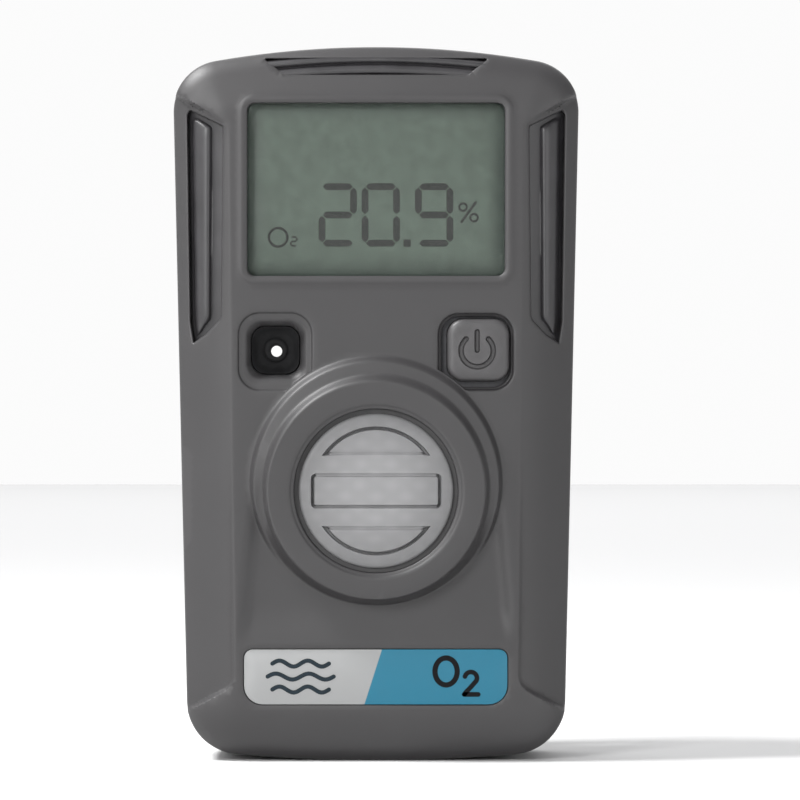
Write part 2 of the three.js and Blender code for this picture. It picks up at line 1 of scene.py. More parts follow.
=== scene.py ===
# %% [markdown]
# # A clip-on gas detector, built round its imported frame
# The frame comes first. It holds every CAD node at its true place, in metres, and the bodies that move.
# Everything visible in this file is placed by that frame, so nothing has to be fitted by eye.

# %% Load the frame
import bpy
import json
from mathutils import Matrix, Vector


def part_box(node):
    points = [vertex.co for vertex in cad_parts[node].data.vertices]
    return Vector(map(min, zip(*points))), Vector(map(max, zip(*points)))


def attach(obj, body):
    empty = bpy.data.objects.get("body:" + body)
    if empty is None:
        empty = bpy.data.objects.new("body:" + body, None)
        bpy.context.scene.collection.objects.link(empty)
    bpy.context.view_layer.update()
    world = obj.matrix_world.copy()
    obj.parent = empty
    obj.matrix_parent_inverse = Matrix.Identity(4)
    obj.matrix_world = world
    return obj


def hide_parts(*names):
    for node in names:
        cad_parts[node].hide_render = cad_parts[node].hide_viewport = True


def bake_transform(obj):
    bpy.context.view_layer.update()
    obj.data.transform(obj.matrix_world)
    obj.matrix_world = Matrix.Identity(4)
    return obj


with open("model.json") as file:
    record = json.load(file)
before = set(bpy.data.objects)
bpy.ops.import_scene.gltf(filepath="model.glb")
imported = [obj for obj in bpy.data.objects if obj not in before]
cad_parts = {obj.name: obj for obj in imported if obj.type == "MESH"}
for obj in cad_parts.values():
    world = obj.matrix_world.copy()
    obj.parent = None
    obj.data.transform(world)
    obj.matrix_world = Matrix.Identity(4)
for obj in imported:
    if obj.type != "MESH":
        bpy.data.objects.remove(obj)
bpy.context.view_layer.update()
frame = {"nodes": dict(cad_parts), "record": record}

import bmesh
import bpy
import json
import numpy as np
from mathutils import Vector
from mathutils.geometry import delaunay_2d_cdt

nodes = frame["nodes"]

# %% [markdown]
# ## Units and the planes that the pieces share
# A small instrument is drawn in millimetres, so the shapes below are worked out in millimetres and
# turned to metres once, when a mesh is made. The planes are read from the CAD nodes' boxes.

# %% Planes from the frame
MM = 0.001


def span(node):
    """Lowest and highest corner of a CAD node, in millimetres."""
    low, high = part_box(node)
    return np.array(low) / MM, np.array(high) / MM


case_low, case_high = span("front_housing")
boss_y = case_low[1]
seam_y = case_high[1]
back_y = span("rear_housing")[1][1]
crown_z = case_high[2]
half_width = case_high[0]
label_low, label_high = span("front_label")
face_y = label_low[1] - 0.05
print("face", face_y, "boss", boss_y, "seam", seam_y, "back", back_y, "crown", crown_z)

# %% [markdown]
# ## Helpers that turn arrays into pieces
# Every piece is made of closed loops of points. Two neighbouring loops are joined by a band of
# quads, and a flat or gently curved area between loops is filled with triangles that respect the
# loops as fixed edges. The same two helpers then make the case, the key, the filter and the clip.


# %% Bands and fills
def band(loops):
    """Quads between neighbouring closed loops: point c of loop r joins c + 1 and loop r + 1."""
    grid = np.stack(loops)
    rows, cols = grid.shape[:2]
    here = np.arange(rows - 1)[:, None] * cols + np.arange(cols)
    after = np.arange(rows - 1)[:, None] * cols + (np.arange(cols) + 1) % cols
    quads = np.stack([here, after, after + cols, here + cols], -1)
    return grid.reshape(-1, 3), quads.reshape(-1, 4)


def inside(points, loop):
    """Even-odd test: a point is inside when a ray to its right crosses the loop an odd number of times."""
    x, z = points[:, :1], points[:, 1:]
    x0, z0 = loop[:, 0], loop[:, 1]
    x1, z1 = np.roll(x0, -1), np.roll(z0, -1)
    spans = (z0 > z) != (z1 > z)
    cross = x0 + (z - z0) * (x1 - x0) / np.where(z1 == z0, 1e-12, z1 - z0)
    return (spans & (x < cross)).sum(1) % 2 == 1


def gap_to(points, loop):
    """Distance from each point to a closed loop: to the nearest point of every side, clamped to its ends."""
    side = np.roll(loop, -1, 0) - loop
    length = np.maximum((side**2).sum(1), 1e-18)
    away = points[:, None, :] - loop[None]
    share = np.clip((away * side).sum(-1) / length, 0, 1)
    return np.sqrt(((away - share[..., None] * side) ** 2).sum(-1)).min(1)


def fill(outer, holes, height, spacing, extra=None, extra_gap=0.12):
    """Triangles between an outline and its holes. Inner points sit on a staggered grid, and every
    point's y is height(x, z). Extra points keep extra_gap clear of the loops."""
    outer, *holes = loops = [np.asarray(p, np.float32).astype(float) for p in (outer, *holes)]
    low, high = outer.min(0), outer.max(0)
    gx, gz = np.meshgrid(np.arange(low[0], high[0], spacing), np.arange(low[1], high[1], spacing))
    gx = gx + (np.arange(gx.shape[0]) % 2)[:, None] * spacing / 2
    inner = np.stack([gx.ravel(), gz.ravel()], 1)
    inner = inner[inside(inner, outer)]
    near = 0.45 * spacing
    if extra is not None:
        apart = np.abs(inner[:, None] - extra[None]).max(-1).min(1)
        inner = inner[apart > near * 0.6]
        inner = np.concatenate([inner, extra])
        near = np.r_[np.full(len(inner) - len(extra), near), np.full(len(extra), extra_gap)]
    keep = inside(inner, outer)
    for hole in holes:
        keep &= ~inside(inner, hole)
    for loop in loops:
        keep &= gap_to(inner, loop) > near
    inner = inner[keep]
    points = np.concatenate([*loops, inner])
    starts = np.cumsum([0, *[len(loop) for loop in loops]])
    edges = [
        np.stack([s + np.arange(len(p)), s + (np.arange(len(p)) + 1) % len(p)], 1)
        for s, p in zip(starts, loops)
    ]
    made = delaunay_2d_cdt(
        [Vector(p) for p in points.tolist()], np.concatenate(edges).tolist(), [], 0, 1e-7, False
    )
    plane = np.array([tuple(v) for v in made[0]])
    tris = np.array(made[2])
    middle = plane[tris].mean(1)
    good = inside(middle, outer)
    for hole in holes:
        good &= ~inside(middle, hole)
    return at_height(plane, height(plane[:, 0], plane[:, 1])), tris[good]


def at_height(loop, y):
    """Lifts a flat loop in X and Z to depth y, which is a number or one value a point."""
    return np.stack([loop[:, 0], np.broadcast_to(y, len(loop)), loop[:, 1]], 1)


def flat(loop):
    """The X and Z of a loop, without its depth."""
    return loop[:, [0, 2]]


def on(height, ring, depth=0.0):
    """Lifts a flat ring on to a height function, plus a depth."""
    return at_height(ring, height(ring[:, 0], ring[:, 1]) + depth)


def cap(loop):
    """Closes a loop with a fan of triangles to its middle."""
    fan = np.arange(len(loop))
    verts = np.concatenate([loop, loop.mean(0, keepdims=True)])
    return verts, np.stack([fan, (fan + 1) % len(loop), np.full(len(loop), len(loop))], 1)


def flat_end(loop, spacing=4.0):
    """Closes a loop of one depth with a flat fill."""
    return fill(flat(loop), [], lambda x, z: np.full_like(x, loop[0, 1]), spacing)


print("helpers for bands and fills are ready")

# %% [markdown]
# ## Outlines
# Moulded parts hardly ever have a sharp corner, so an outline is a polygon whose corners are arcs.
# When it is offset inwards, its sides move and its arcs shrink together, and the number of points
# stays the same. That is what lets a step, a lip or a pocket be written as a short list of offsets.


# %% Rounded polygons, circles and slots
def rounded(corners, radii, inset=0.0, turn=8, straight=6):
    """A convex polygon with arcs at its corners, all moved inwards by inset. Each arc's centre is
    where two sides meet when they are moved in by inset + radius."""
    c = np.array(corners, float)
    r = np.maximum(np.broadcast_to(radii, len(c)) - inset, 0.04)
    side = np.roll(c, -1, 0) - c
    side /= np.linalg.norm(side, axis=1, keepdims=True)
    normal = np.stack([-side[:, 1], side[:, 0]], 1)
    before = np.roll(normal, 1, 0)
    lean = (before + normal) / (1 + (before * normal).sum(1, keepdims=True))
    centre = c + (inset + r)[:, None] * lean
    start = np.arctan2(-before[:, 1], -before[:, 0])
    sweep = (np.arctan2(-normal[:, 1], -normal[:, 0]) - start) % (2 * np.pi)
    angle = start[:, None] + sweep[:, None] * np.linspace(0, 1, turn + 1)
    arcs = centre[:, None] + r[:, None, None] * np.stack([np.cos(angle), np.sin(angle)], -1)
    ends, starts = arcs[:, -1], np.roll(arcs[:, 0], -1, 0)
    part = np.linspace(0, 1, straight + 2)[1:-1][:, None]
    lines = ends[:, None] + (starts - ends)[:, None] * part
    return np.concatenate([arcs, lines], 1).reshape(-1, 2)


def block(x, z, width, height, r, inset=0.0, turn=8, straight=6):
    """A rounded rectangle round (x, z)."""
    w, h = width / 2, height / 2
    corners = [(x - w, z - h), (x + w, z - h), (x + w, z + h), (x - w, z + h)]
    return rounded(corners, r, inset, turn, straight)


def circle(r, x=0.0, z=0.0, count=96, start=0.0):
    """A circle of radius r."""
    angle = start + np.linspace(0, 2 * np.pi, count, endpoint=False)
    return np.stack([x + r * np.cos(angle), z + r * np.sin(angle)], 1)


def ribbon(path, half, caps=6):
    """The outline of a stroke: the path moved to its right, a round end, the path moved to its
    left, and a round end."""
    p = np.array(path, float)
    along = np.gradient(p, axis=0)
    along /= np.linalg.norm(along, axis=1, keepdims=True)
    normal = np.stack([along[:, 1], -along[:, 0]], 1)
    end = np.arctan2(normal[-1, 1], normal[-1, 0]) + np.linspace(0, np.pi, caps + 2)[1:-1]
    begin = np.arctan2(-normal[0, 1], -normal[0, 0]) + np.linspace(0, np.pi, caps + 2)[1:-1]
    return np.concatenate([
        p + half * normal,
        p[-1] + half * np.stack([np.cos(end), np.sin(end)], 1),
        (p - half * normal)[::-1],
        p[0] + half * np.stack([np.cos(begin), np.sin(begin)], 1),
    ])


def arc_path(x, z, r, start, stop, count=24):
    """Points along an arc, in degrees."""
    angle = np.radians(np.linspace(start, stop, count))
    return np.stack([x + r * np.cos(angle), z + r * np.sin(angle)], 1)


print("a key-sized outline has", len(block(0, 0, 8, 8, 2)), "points")

# %% [markdown]
# ## From arrays to an object
# The parts of one piece share their border points exactly, so they are merged, and the normals of
# the closed shell are made to face out. Edges sharper than a set angle stay crisp.


# %% Making a piece
def piece(name, parts, body, material, replaces=(), crisp=32, close=1e-6):
    """Joins (vertices in mm, faces) parts into one mesh at its true place, and puts it in the frame."""
    mesh = bpy.data.meshes.new(name)
    counts = np.cumsum([0, *[len(v) for v, _ in parts]])
    verts = np.concatenate([v for v, _ in parts]) * MM
    faces = [row for (_, f), s in zip(parts, counts) for row in (np.asarray(f) + s).tolist()]
    mesh.from_pydata(verts.tolist(), [], faces)
    work = bmesh.new()
    work.from_mesh(mesh)
    bmesh.ops.remove_doubles(work, verts=work.verts, dist=close)
    bmesh.ops.dissolve_degenerate(work, edges=work.edges, dist=1e-8)
    bmesh.ops.recalc_face_normals(work, faces=work.faces)
    open_edges = sum(1 for e in work.edges if not e.is_manifold)
    work.to_mesh(mesh)
    work.free()
    mesh.polygons.foreach_set("use_smooth", np.ones(len(mesh.polygons), bool))
    mesh.set_sharp_from_angle(angle=np.radians(crisp))
    obj = bpy.data.objects.new(name, mesh)
    bpy.context.scene.collection.objects.link(obj)
    mesh.materials.append(material)
    if replaces:
        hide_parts(*replaces)
    if body:
        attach(obj, body)
    low, high = verts.min(0) / MM, verts.max(0) / MM
    print(f"{name}: {len(mesh.polygons)} faces, {open_edges} open edges, {low.round(1)} to {high.round(1)}")
    return obj


def plate(outer, y_front, y_back, bevel=0.0):
    """A flat piece: an outline function of an inset, with a bevelled front, closed at both depths."""
    rows = [
        at_height(outer(bevel), y_front),
        at_height(outer(bevel * 0.3), y_front + bevel * 0.3),
        at_height(outer(0), y_front + bevel),
        at_height(outer(0), y_back),
    ]
    return [band(rows), flat_end(rows[0]), flat_end(rows[-1])]


print("piece maker is ready")

# %% [markdown]
# ## Materials: one way to add a node
# Colours are given as the sRGB hex values a colour picker shows, and one function turns them to
# linear light. One more function adds a node with its settings and its links.


# %% Colour and node helpers
def linear(hex_code, alpha=1.0):
    """sRGB to linear: c / 12.92 below 0.04045, else ((c + 0.055) / 1.055) to the power 2.4."""
    c = np.array([int(hex_code[i:i + 2], 16) for i in (1, 3, 5)]) / 255
    c = np.where(c <= 0.04045, c / 12.92, ((c + 0.055) / 1.055) ** 2.4)
    return (*c.tolist(), alpha)


def add(owner, kind, inputs=None, links=None, stops=(), **settings):
    """Adds one node to a material or world: settings are its attributes, inputs its socket values,
    links its sources, and stops the (position, linear colour) pairs of a colour ramp."""
    tree = owner.node_tree
    made = tree.nodes.new(kind)
    for key, value in settings.items():
        setattr(made, key, value)
    for key, value in (inputs or {}).items():
        made.inputs[key].default_value = value
    for key, source in (links or {}).items():
        tree.links.new(source, made.inputs[key])
    for k, (position, colour) in enumerate(stops):
        made.color_ramp.elements[k].position = position
        made.color_ramp.elements[k].color = colour
    return made


def blank(name):
    """A new material with only its output node."""
    material = bpy.data.materials.new(name)
    material.use_nodes = True
    material.node_tree.nodes.clear()
    return material


def shaded(material, colour, roughness, bump=None, **surface):
    """Ends a material in a principled surface. Colour and roughness may be a value or a socket."""
    inputs = {key.replace("_", " ").title().replace("Ior", "IOR"): v for key, v in surface.items()}
    links = {}
    for key, value in (("Base Color", colour), ("Roughness", roughness), ("Normal", bump)):
        if value is None:
            continue
        (links if isinstance(value, bpy.types.NodeSocket) else inputs)[key] = value
    end = add(material, "ShaderNodeBsdfPrincipled", inputs, links)
    add(material, "ShaderNodeOutputMaterial", links={"Surface": end.outputs[0]})
    return material


print("mid grey #808080 is", round(linear("#808080")[0], 4), "in linear light")

# %% [markdown]
# ## Moulded plastics
# The case is injection moulded from a tough plastic blend, such as PC-ABS, in a tool whose faces
# were spark eroded. That gives an even, fine grain that breaks up reflections: it looks matt face
# on, and shines softly where it curves away. The grain is about 0.1 mm on the real tool; it is drawn
# at 0.22 mm, or it wouldn't show at this size.


# %% Spark-eroded moulded plastic
def moulded(name, hex_code, rough, grain_mm=0.22, depth=0.010, edge=1.25):
    """Moulded plastic: slow tone changes, grain bump, and convex corners made lighter in colour."""
    m = blank(name)
    place = add(m, "ShaderNodeTexCoord").outputs["Object"]
    tone = add(m, "ShaderNodeTexNoise", {"Scale": 1 / (14 * MM), "Detail": 3.0}, {"Vector": place})
    fine = add(m, "ShaderNodeTexNoise", {"Scale": 1 / (grain_mm * MM), "Detail": 2.0}, {"Vector": place})
    base = np.array(linear(hex_code)[:3])
    low, high = (*(base * 0.94), 1), (*(base * 1.05), 1)
    colour = add(
        m, "ShaderNodeValToRGB", links={"Fac": tone.outputs["Fac"]},
        stops=[(0.3, low), (0.7, high)],
    ).outputs[0]
    # Convex corners, found by pointiness, are made lighter in colour than the rest.
    corner_lightening = add(m, "ShaderNodeNewGeometry").outputs["Pointiness"]
    corner_lightening = add(
        m, "ShaderNodeValToRGB", links={"Fac": corner_lightening},
        stops=[(0.505, (0, 0, 0, 1)), (0.56, (1, 1, 1, 1))],
    ).outputs[0]
    mix = add(
        m, "ShaderNodeMix", {"B": (*np.minimum(base * edge, 1), 1)}, {"Factor": corner_lightening, "A": colour},
        data_type="RGBA",
    )
    shine = add(
        m, "ShaderNodeMapRange", {"To Min": rough - 0.05, "To Max": rough + 0.05},
        {"Value": fine.outputs["Fac"]},
    )
    bump = add(
        m, "ShaderNodeBump", {"Strength": 0.35, "Distance": depth * MM}, {"Height": fine.outputs["Fac"]}
    )
    result = next(s for s in mix.outputs if s.type == "RGBA")
    return shaded(m, result, shine.outputs[0], bump.outputs[0], ior=1.53)


case_plastic = moulded("pc_abs_spark_eroded_front", "#302f30", 0.5)
rear_plastic = moulded("pc_abs_spark_eroded_rear", "#302f30", 0.55)
key_plastic = moulded("pc_abs_fine_key", "#3d3c3d", 0.46, 0.18, 0.006)
filter_plastic = moulded("filled_polypropylene_filter", "#8a8a8a", 0.6, 0.3, 0.008, 1.05)
sensor_plastic = moulded("abs_sensor_body", "#d9d6cc", 0.45, 0.3, 0.006)
print("moulded plastics:", [m.name for m in bpy.data.materials if "pc_abs" in m.name])

# %% [markdown]
# ## Smoked light guides, clear cover and display cell
# The alarm bars are polished smoked polycarbonate: almost black until their lamps flash, with clear
# highlights along their ridges. The cover over the display is clear, so light must reach the cell
# beneath; it is drawn thin, as a faint gloss. The cell is a reflective twisted nematic display, whose
# field is grey-green and slightly mottled, with painted shade that darkens it towards its frame.


# %% Smoked bar, clear cover, display cell
def polished(name, hex_code, rough, coat=0.0):
    """Polished plastic with faint flow marks 4 mm long."""
    m = blank(name)
    place = add(m, "ShaderNodeTexCoord").outputs["Object"]
    flow = add(m, "ShaderNodeTexNoise", {"Scale": 1 / (4 * MM), "Detail": 2.0}, {"Vector": place})
    base = np.array(linear(hex_code)[:3])
    colour = add(
        m, "ShaderNodeValToRGB", links={"Fac": flow.outputs["Fac"]},
        stops=[(0.3, (*(base * 0.85), 1)), (0.7, (*(base * 1.2), 1))],
    ).outputs[0]
    shine = add(
        m, "ShaderNodeMapRange", {"To Min": rough * 0.8, "To Max": rough * 1.2},
        {"Value": flow.outputs["Fac"]},
    )
    return shaded(m, colour, shine.outputs[0], ior=1.585, coat_weight=coat)


smoked = polished("polycarbonate_smoked_light_guide", "#2a292b", 0.42)


def clear_cover():
    """Clear acrylic, as a thin gloss over what is behind it: alpha is the share that it hides."""
    m = blank("acrylic_clear_cover")
    place = add(m, "ShaderNodeTexCoord").outputs["Object"]
    haze = add(m, "ShaderNodeTexNoise", {"Scale": 1 / (6 * MM)}, {"Vector": place})
    shine = add(m, "ShaderNodeMapRange", {"To Min": 0.1, "To Max": 0.16}, {"Value": haze.outputs["Fac"]})
    return shaded(m, linear("#8f998f"), shine.outputs[0], ior=1.49, alpha=0.03)


def display_cell():
    """Grey-green field: mottle 2.5 mm across, and painted shade that darkens it by a tenth within 2 mm of its
    frame.
    """
    m = blank("twisted_nematic_display_cell")
    low, high = span("display_window")
    place = add(m, "ShaderNodeTexCoord").outputs["Object"]
    middle = tuple((-(low + high) / 2 * MM).tolist())
    moved = add(m, "ShaderNodeVectorMath", {1: middle}, {0: place}, operation="ADD").outputs[0]
    apart = add(m, "ShaderNodeSeparateXYZ", links={0: moved})
    # Painted shade: within 2.2 mm of the frame the field darkens from #414d44 to #333d37, standing in for the
    # bezel's shadow.
    far = []
    for axis, half in (("X", 16.3), ("Z", 10.85)):
        size = add(m, "ShaderNodeMath", links={0: apart.outputs[axis]}, operation="ABSOLUTE")
        far.append(add(
            m, "ShaderNodeMapRange", {"From Min": (half - 2.2) * MM, "From Max": half * MM},
            {"Value": size.outputs[0]},
        ).outputs[0])
    rim = add(m, "ShaderNodeMath", links={0: far[0], 1: far[1]}, operation="MAXIMUM")
    field_with_painted_shade = add(
        m, "ShaderNodeValToRGB", links={"Fac": rim.outputs[0]},
        stops=[(0.0, linear("#414d44")), (1.0, linear("#333d37"))],
    ).outputs[0]
    spots = add(m, "ShaderNodeTexNoise", {"Scale": 1 / (1.8 * MM), "Detail": 4.0}, {"Vector": place})
    shade = add(
        m, "ShaderNodeValToRGB", links={"Fac": spots.outputs["Fac"]},
        stops=[(0.35, (0.84, 0.84, 0.84, 1)), (0.65, (1.1, 1.1, 1.1, 1))],
    ).outputs[0]
    mottle_and_painted_shade = add(m, "ShaderNodeVectorMath", links={0: field_with_painted_shade, 1: shade}, operation="MULTIPLY")
    return shaded(m, mottle_and_painted_shade.outputs[0], 0.45, ior=1.5)


cover_material = clear_cover()
cell_material = display_cell()
print("display materials ready")

# %% [markdown]
# ## Rubber, membrane, label film, boards and metals
# Rubber is black, soft-looking and slightly uneven. The sounder's membrane and the filter's cloth
# are white, with a woven ripple. The printed film is two-coloured along a slanted line. Metals keep the
# default IOR: brushed ones have fine streaks, coated ones a low pebble.


# %% Rubber, cloth, film, board and metal
def patterned(name, stops, grain_mm, rough, depth=0.01, metallic=0.0, stretch=(1, 1, 1), **surface):
    """A two-tone noise of the given grain, stretched by a Mapping node for brushed streaks."""
    m = blank(name)
    place = add(m, "ShaderNodeTexCoord").outputs["Object"]
    turned = add(m, "ShaderNodeMapping", {"Scale": stretch}, {"Vector": place})
    noise = add(
        m, "ShaderNodeTexNoise", {"Scale": 1 / (grain_mm * MM), "Detail": 3.0}, {"Vector": turned.outputs[0]}
    )
    colour = add(
        m, "ShaderNodeValToRGB", links={"Fac": noise.outputs["Fac"]},
        stops=[(0.3, linear(stops[0])), (0.7, linear(stops[1]))],
    ).outputs[0]
    shine = add(
        m, "ShaderNodeMapRange", {"To Min": rough - 0.06, "To Max": rough + 0.06},
        {"Value": noise.outputs["Fac"]},
    )
    bump = add(
        m, "ShaderNodeBump", {"Strength": 0.4, "Distance": depth * MM}, {"Height": noise.outputs["Fac"]}
    )
    return shaded(m, colour, shine.outputs[0], bump.outputs[0], metallic=metallic, **surface)


rubber = patterned("nitrile_rubber_moulded", ("#040405", "#080809"), 0.5, 0.6, specular_ior_level=0.14)
liner_rubber = patterned("nitrile_rubber_dusty", ("#141415", "#1a1a1b"), 0.5, 0.7, specular_ior_level=0.14)
silicone = patterned("silicone_rubber_pad", ("#333336", "#414144"), 0.6, 0.65)
foam = patterned("closed_cell_foam", ("#262628", "#3c3c3e"), 0.4, 0.9, 0.06)
steel = patterned("zinc_plated_steel", ("#b2b4b7", "#cdced0"), 0.5, 0.32, 0.004, 1.0, (1, 1, 0.2))
nickel = patterned("nickel_strip_rolled", ("#bdb8ab", "#d3cec2"), 0.4, 0.28, 0.003, 1.0, (1, 1, 0.1))
gold = patterned("gilt_contact", ("#c8a04c", "#dcb766"), 0.4, 0.3, 0.003, 1.0)
spring_steel = patterned("black_oxide_spring_steel", ("#303236", "#3f4146"), 0.35, 0.42, 0.006, 0.85)
sleeve_film = patterned("pvc_shrink_sleeve", ("#2a5a8a", "#336799"), 3.0, 0.3, 0.01)
chip_resin = patterned("epoxy_chip_resin", ("#1c1c1e", "#262628"), 0.3, 0.5, 0.006)
lamp_resin = patterned("led_ceramic_and_lens", ("#ddd6bf", "#efe9d8"), 0.5, 0.35, 0.004)
board_mask = patterned("solder_mask_on_laminate", ("#18482e", "#226340"), 1.2, 0.38, 0.01)
foil = patterned("reflector_film", ("#b2b6b1", "#c6cac5"), 1.0, 0.4, 0.004)
grey_film = patterned("polyester_film_grey", ("#a2a2a2", "#a6a6a6"), 2.0, 0.42, 0.002)
ink = patterned("display_segment_dye", ("#2e2e2e", "#353535"), 0.8, 0.85, 0.002, specular_ior_level=0.1)
glyph_ink = patterned("screen_ink_black", ("#0a0a0c", "#101012"), 0.6, 0.7, 0.003, specular_ior_level=0.15)
mark_ink = patterned("screen_ink_slate", ("#1d262c", "#232d34"), 0.6, 0.7, 0.003, specular_ior_level=0.15)


def woven(name, hex_code, pitch_mm, deep):
    """Two wave patterns crossed at 45 degrees, which is a plain weave seen from far enough away."""
    m = blank(name)
    place = add(m, "ShaderNodeTexCoord").outputs["Object"]
    waves = []
    for turn in (np.pi / 4, -np.pi / 4):
        spun = add(m, "ShaderNodeMapping", {"Rotation": (0, turn, 0)}, {"Vector": place})
        waves.append(add(
            m, "ShaderNodeTexWave", {"Scale": 0.314 / (pitch_mm * MM), "Distortion": 0.6},
            {"Vector": spun.outputs[0]},
        ).outputs["Fac"])
    both = add(m, "ShaderNodeMath", links={0: waves[0], 1: waves[1]}, operation="MULTIPLY").outputs[0]
    base = np.array(linear(hex_code)[:3])
    colour = add(
        m, "ShaderNodeValToRGB", links={"Fac": both},
        stops=[(0.0, (*(base * 0.93), 1)), (1.0, (*base, 1))],
    ).outputs[0]
    bump = add(m, "ShaderNodeBump", {"Strength": 0.6, "Distance": deep * MM}, {"Height": both})
    return shaded(m, colour, 0.7, bump.outputs[0])


membrane = woven("expanded_ptfe_membrane", "#f2f2f0", 0.3, 0.02)


def printed_film():
    """Polyester film: grey to the left of a slanted line, blue to its right."""
    m = blank("polyester_film_two_colour")
    place = add(m, "ShaderNodeTexCoord").outputs["Object"]
    apart = add(m, "ShaderNodeSeparateXYZ", links={0: place})
    lean = add(
        m, "ShaderNodeMath", {1: -0.32, 2: 0.00385}, {0: apart.outputs["Z"]}, operation="MULTIPLY_ADD"
    )
    past = add(
        m, "ShaderNodeMath", links={0: apart.outputs["X"], 1: lean.outputs[0]}, operation="ADD"
    )
    side = add(
        m, "ShaderNodeMapRange", {"From Min": -0.00002, "From Max": 0.00006}, {"Value": past.outputs[0]}
    )
    colour = add(
        m, "ShaderNodeValToRGB", links={"Fac": side.outputs[0]},
        stops=[(0.0, linear("#8f9090")), (1.0, linear("#0c667f"))],
    ).outputs[0]
    fine = add(m, "ShaderNodeTexNoise", {"Scale": 1 / (0.4 * MM)}, {"Vector": place}).outputs["Fac"]
    bump = add(m, "ShaderNodeBump", {"Strength": 0.2, "Distance": 0.004 * MM}, {"Height": fine})
    return shaded(m, colour, 0.42, bump.outputs[0], ior=1.5)


film = printed_film()
print("materials:", len(bpy.data.materials))

# %% [markdown]
# ## The case outline
# Seen from the front, the case is a tapered rectangle: straight sides that lean out towards the top,
# a crown and a base that are parts of large circles, and four corner arcs that touch both. An outline
# moved in by a distance keeps the same arc centres, so it is worked out once.

# %% Case outline
LEAN = np.arctan2(1.7, 74.8)
REACH = half_width * np.cos(LEAN) - 82.3 * np.sin(LEAN)
CROWN_R, BASE_R = 120.0, 211.0
CROWN_C, BASE_C = crown_z - CROWN_R, BASE_R - 0.2
CORNER_TOP, CORNER_BASE = 6.7, 7.2
side_normal = np.array([np.cos(LEAN), -np.sin(LEAN)])
side_along = np.array([np.sin(LEAN), np.cos(LEAN)])


def corner_centre(r, arc_c, arc_r, sign):
    """Centre of a circle of radius r that touches the side line and the large arc from inside:
    a point r in from the side line, at distance arc_r - r from the large arc's centre."""
    base = side_normal * (REACH - r) - np.array([0, arc_c])
    half = base @ side_along
    t = -half + sign * np.sqrt(half**2 - base @ base + (arc_r - r) ** 2)
    return base + side_along * t + np.array([0, arc_c])


top_corner = corner_centre(CORNER_TOP, CROWN_C, CROWN_R, 1)
base_corner = corner_centre(CORNER_BASE, BASE_C, BASE_R, -1)
top_turn = np.arctan2(top_corner[1] - CROWN_C, top_corner[0])
base_turn = np.arctan2(base_corner[1] - BASE_C, base_corner[0])


def case_outline(inset, counts=(36, 24, 110, 24, 60)):
    """The right half from the base's middle to the crown's middle, then its mirror image."""
    nb, nc, ns, nt, nk = counts

    def arc(centre, r, start, stop, n):
        angle = np.linspace(start, stop, n, endpoint=False)
        return centre + r * np.stack([np.cos(angle), np.sin(angle)], 1)

    low = arc(np.array([0, BASE_C]), BASE_R - inset, -np.pi / 2, base_turn, nb)
    low_corner = arc(base_corner, CORNER_BASE - inset, base_turn, -LEAN, nc)
    start = base_corner + (CORNER_BASE - inset) * side_normal
    stop = top_corner + (CORNER_TOP - inset) * side_normal
    side = start + (stop - start) * np.linspace(0, 1, ns, endpoint=False)[:, None]
    high_corner = arc(top_corner, CORNER_TOP - inset, -LEAN, top_turn, nt)
    high = arc(np.array([0, CROWN_C]), CROWN_R - inset, top_turn, np.pi / 2, nk)
    right = np.concatenate([low, low_corner, side, high_corner, high])
    left = right[1:][::-1] * [-1, 1]
    tip = np.array([[0, crown_z - inset]])
    loop = np.concatenate([right, tip, left])
    return np.stack([loop[:, 0], np.maximum(loop[:, 1], 0.0)], 1)


def edge_gap(x, z):
    """Distance in from the outline: to the nearest side or large arc, or to the corner arc where a
    point lies in that corner's sector."""
    x = np.abs(x)
    gap = np.minimum(REACH - (x * side_normal[0] + z * side_normal[1]), CROWN_R - np.hypot(x, z - CROWN_C))
    gap = np.minimum(gap, BASE_R - np.hypot(x, z - BASE_C))
    for centre, r, start, stop in (
        (top_corner, CORNER_TOP, -LEAN, top_turn), (base_corner, CORNER_BASE, base_turn, -LEAN)
    ):
        angle = np.arctan2(z - centre[1], x - centre[0])
        there = (angle > start) & (angle < stop)
        gap = np.where(there, r - np.hypot(x - centre[0], z - centre[1]), gap)
    return gap


print("outline points:", len(case_outline(0)), "widest half:", round(case_outline(0)[:, 0].max(), 2))

# %% [markdown]
# ## The front surface, as one height function
# The face is a flat panel. Towards the crown it slopes back and rounds over, at the chin it rolls
# under, and along each side a long facet is scooped out between two ledges. A shallow channel runs from
# the sensor boss down to the label. All of these are added up in one function of x and z, which the
# fill, the pockets and the light bars share.


# %% Height of the front surface
def ease(low, high, value):
    """0 below low, 1 above high, and 3t squared minus 2t cubed between."""
    t = np.clip((value - low) / (high - low), 0, 1)
    return t * t * (3 - 2 * t)


def ramped(value, soft):
    """Like max(value, 0), with its corner rounded over a distance of about soft."""
    return 0.5 * (value + np.sqrt(value**2 + soft**2))


def meet(a, b, r):
    """Distance inside two borders at once, with their corner rounded to radius r."""
    q = np.hypot(np.maximum(r - a, 0), np.maximum(r - b, 0))
    return np.where((a < r) & (b < r), r - q, np.minimum(a, b))


def facet_border(x, z):
    """How far a point lies inside the side facet: past its crease, and between its two ledges."""
    x = np.abs(x)
    crease = x - (17.8 + 0.011 * z)
    low = (z - (6.1 + 0.54 * (24.4 - x))) * 0.88
    high = (81.9 + 0.58 * (x - 19.8) - z) * 0.865
    return meet(meet(crease, low, 1.6), high, 1.2), crease


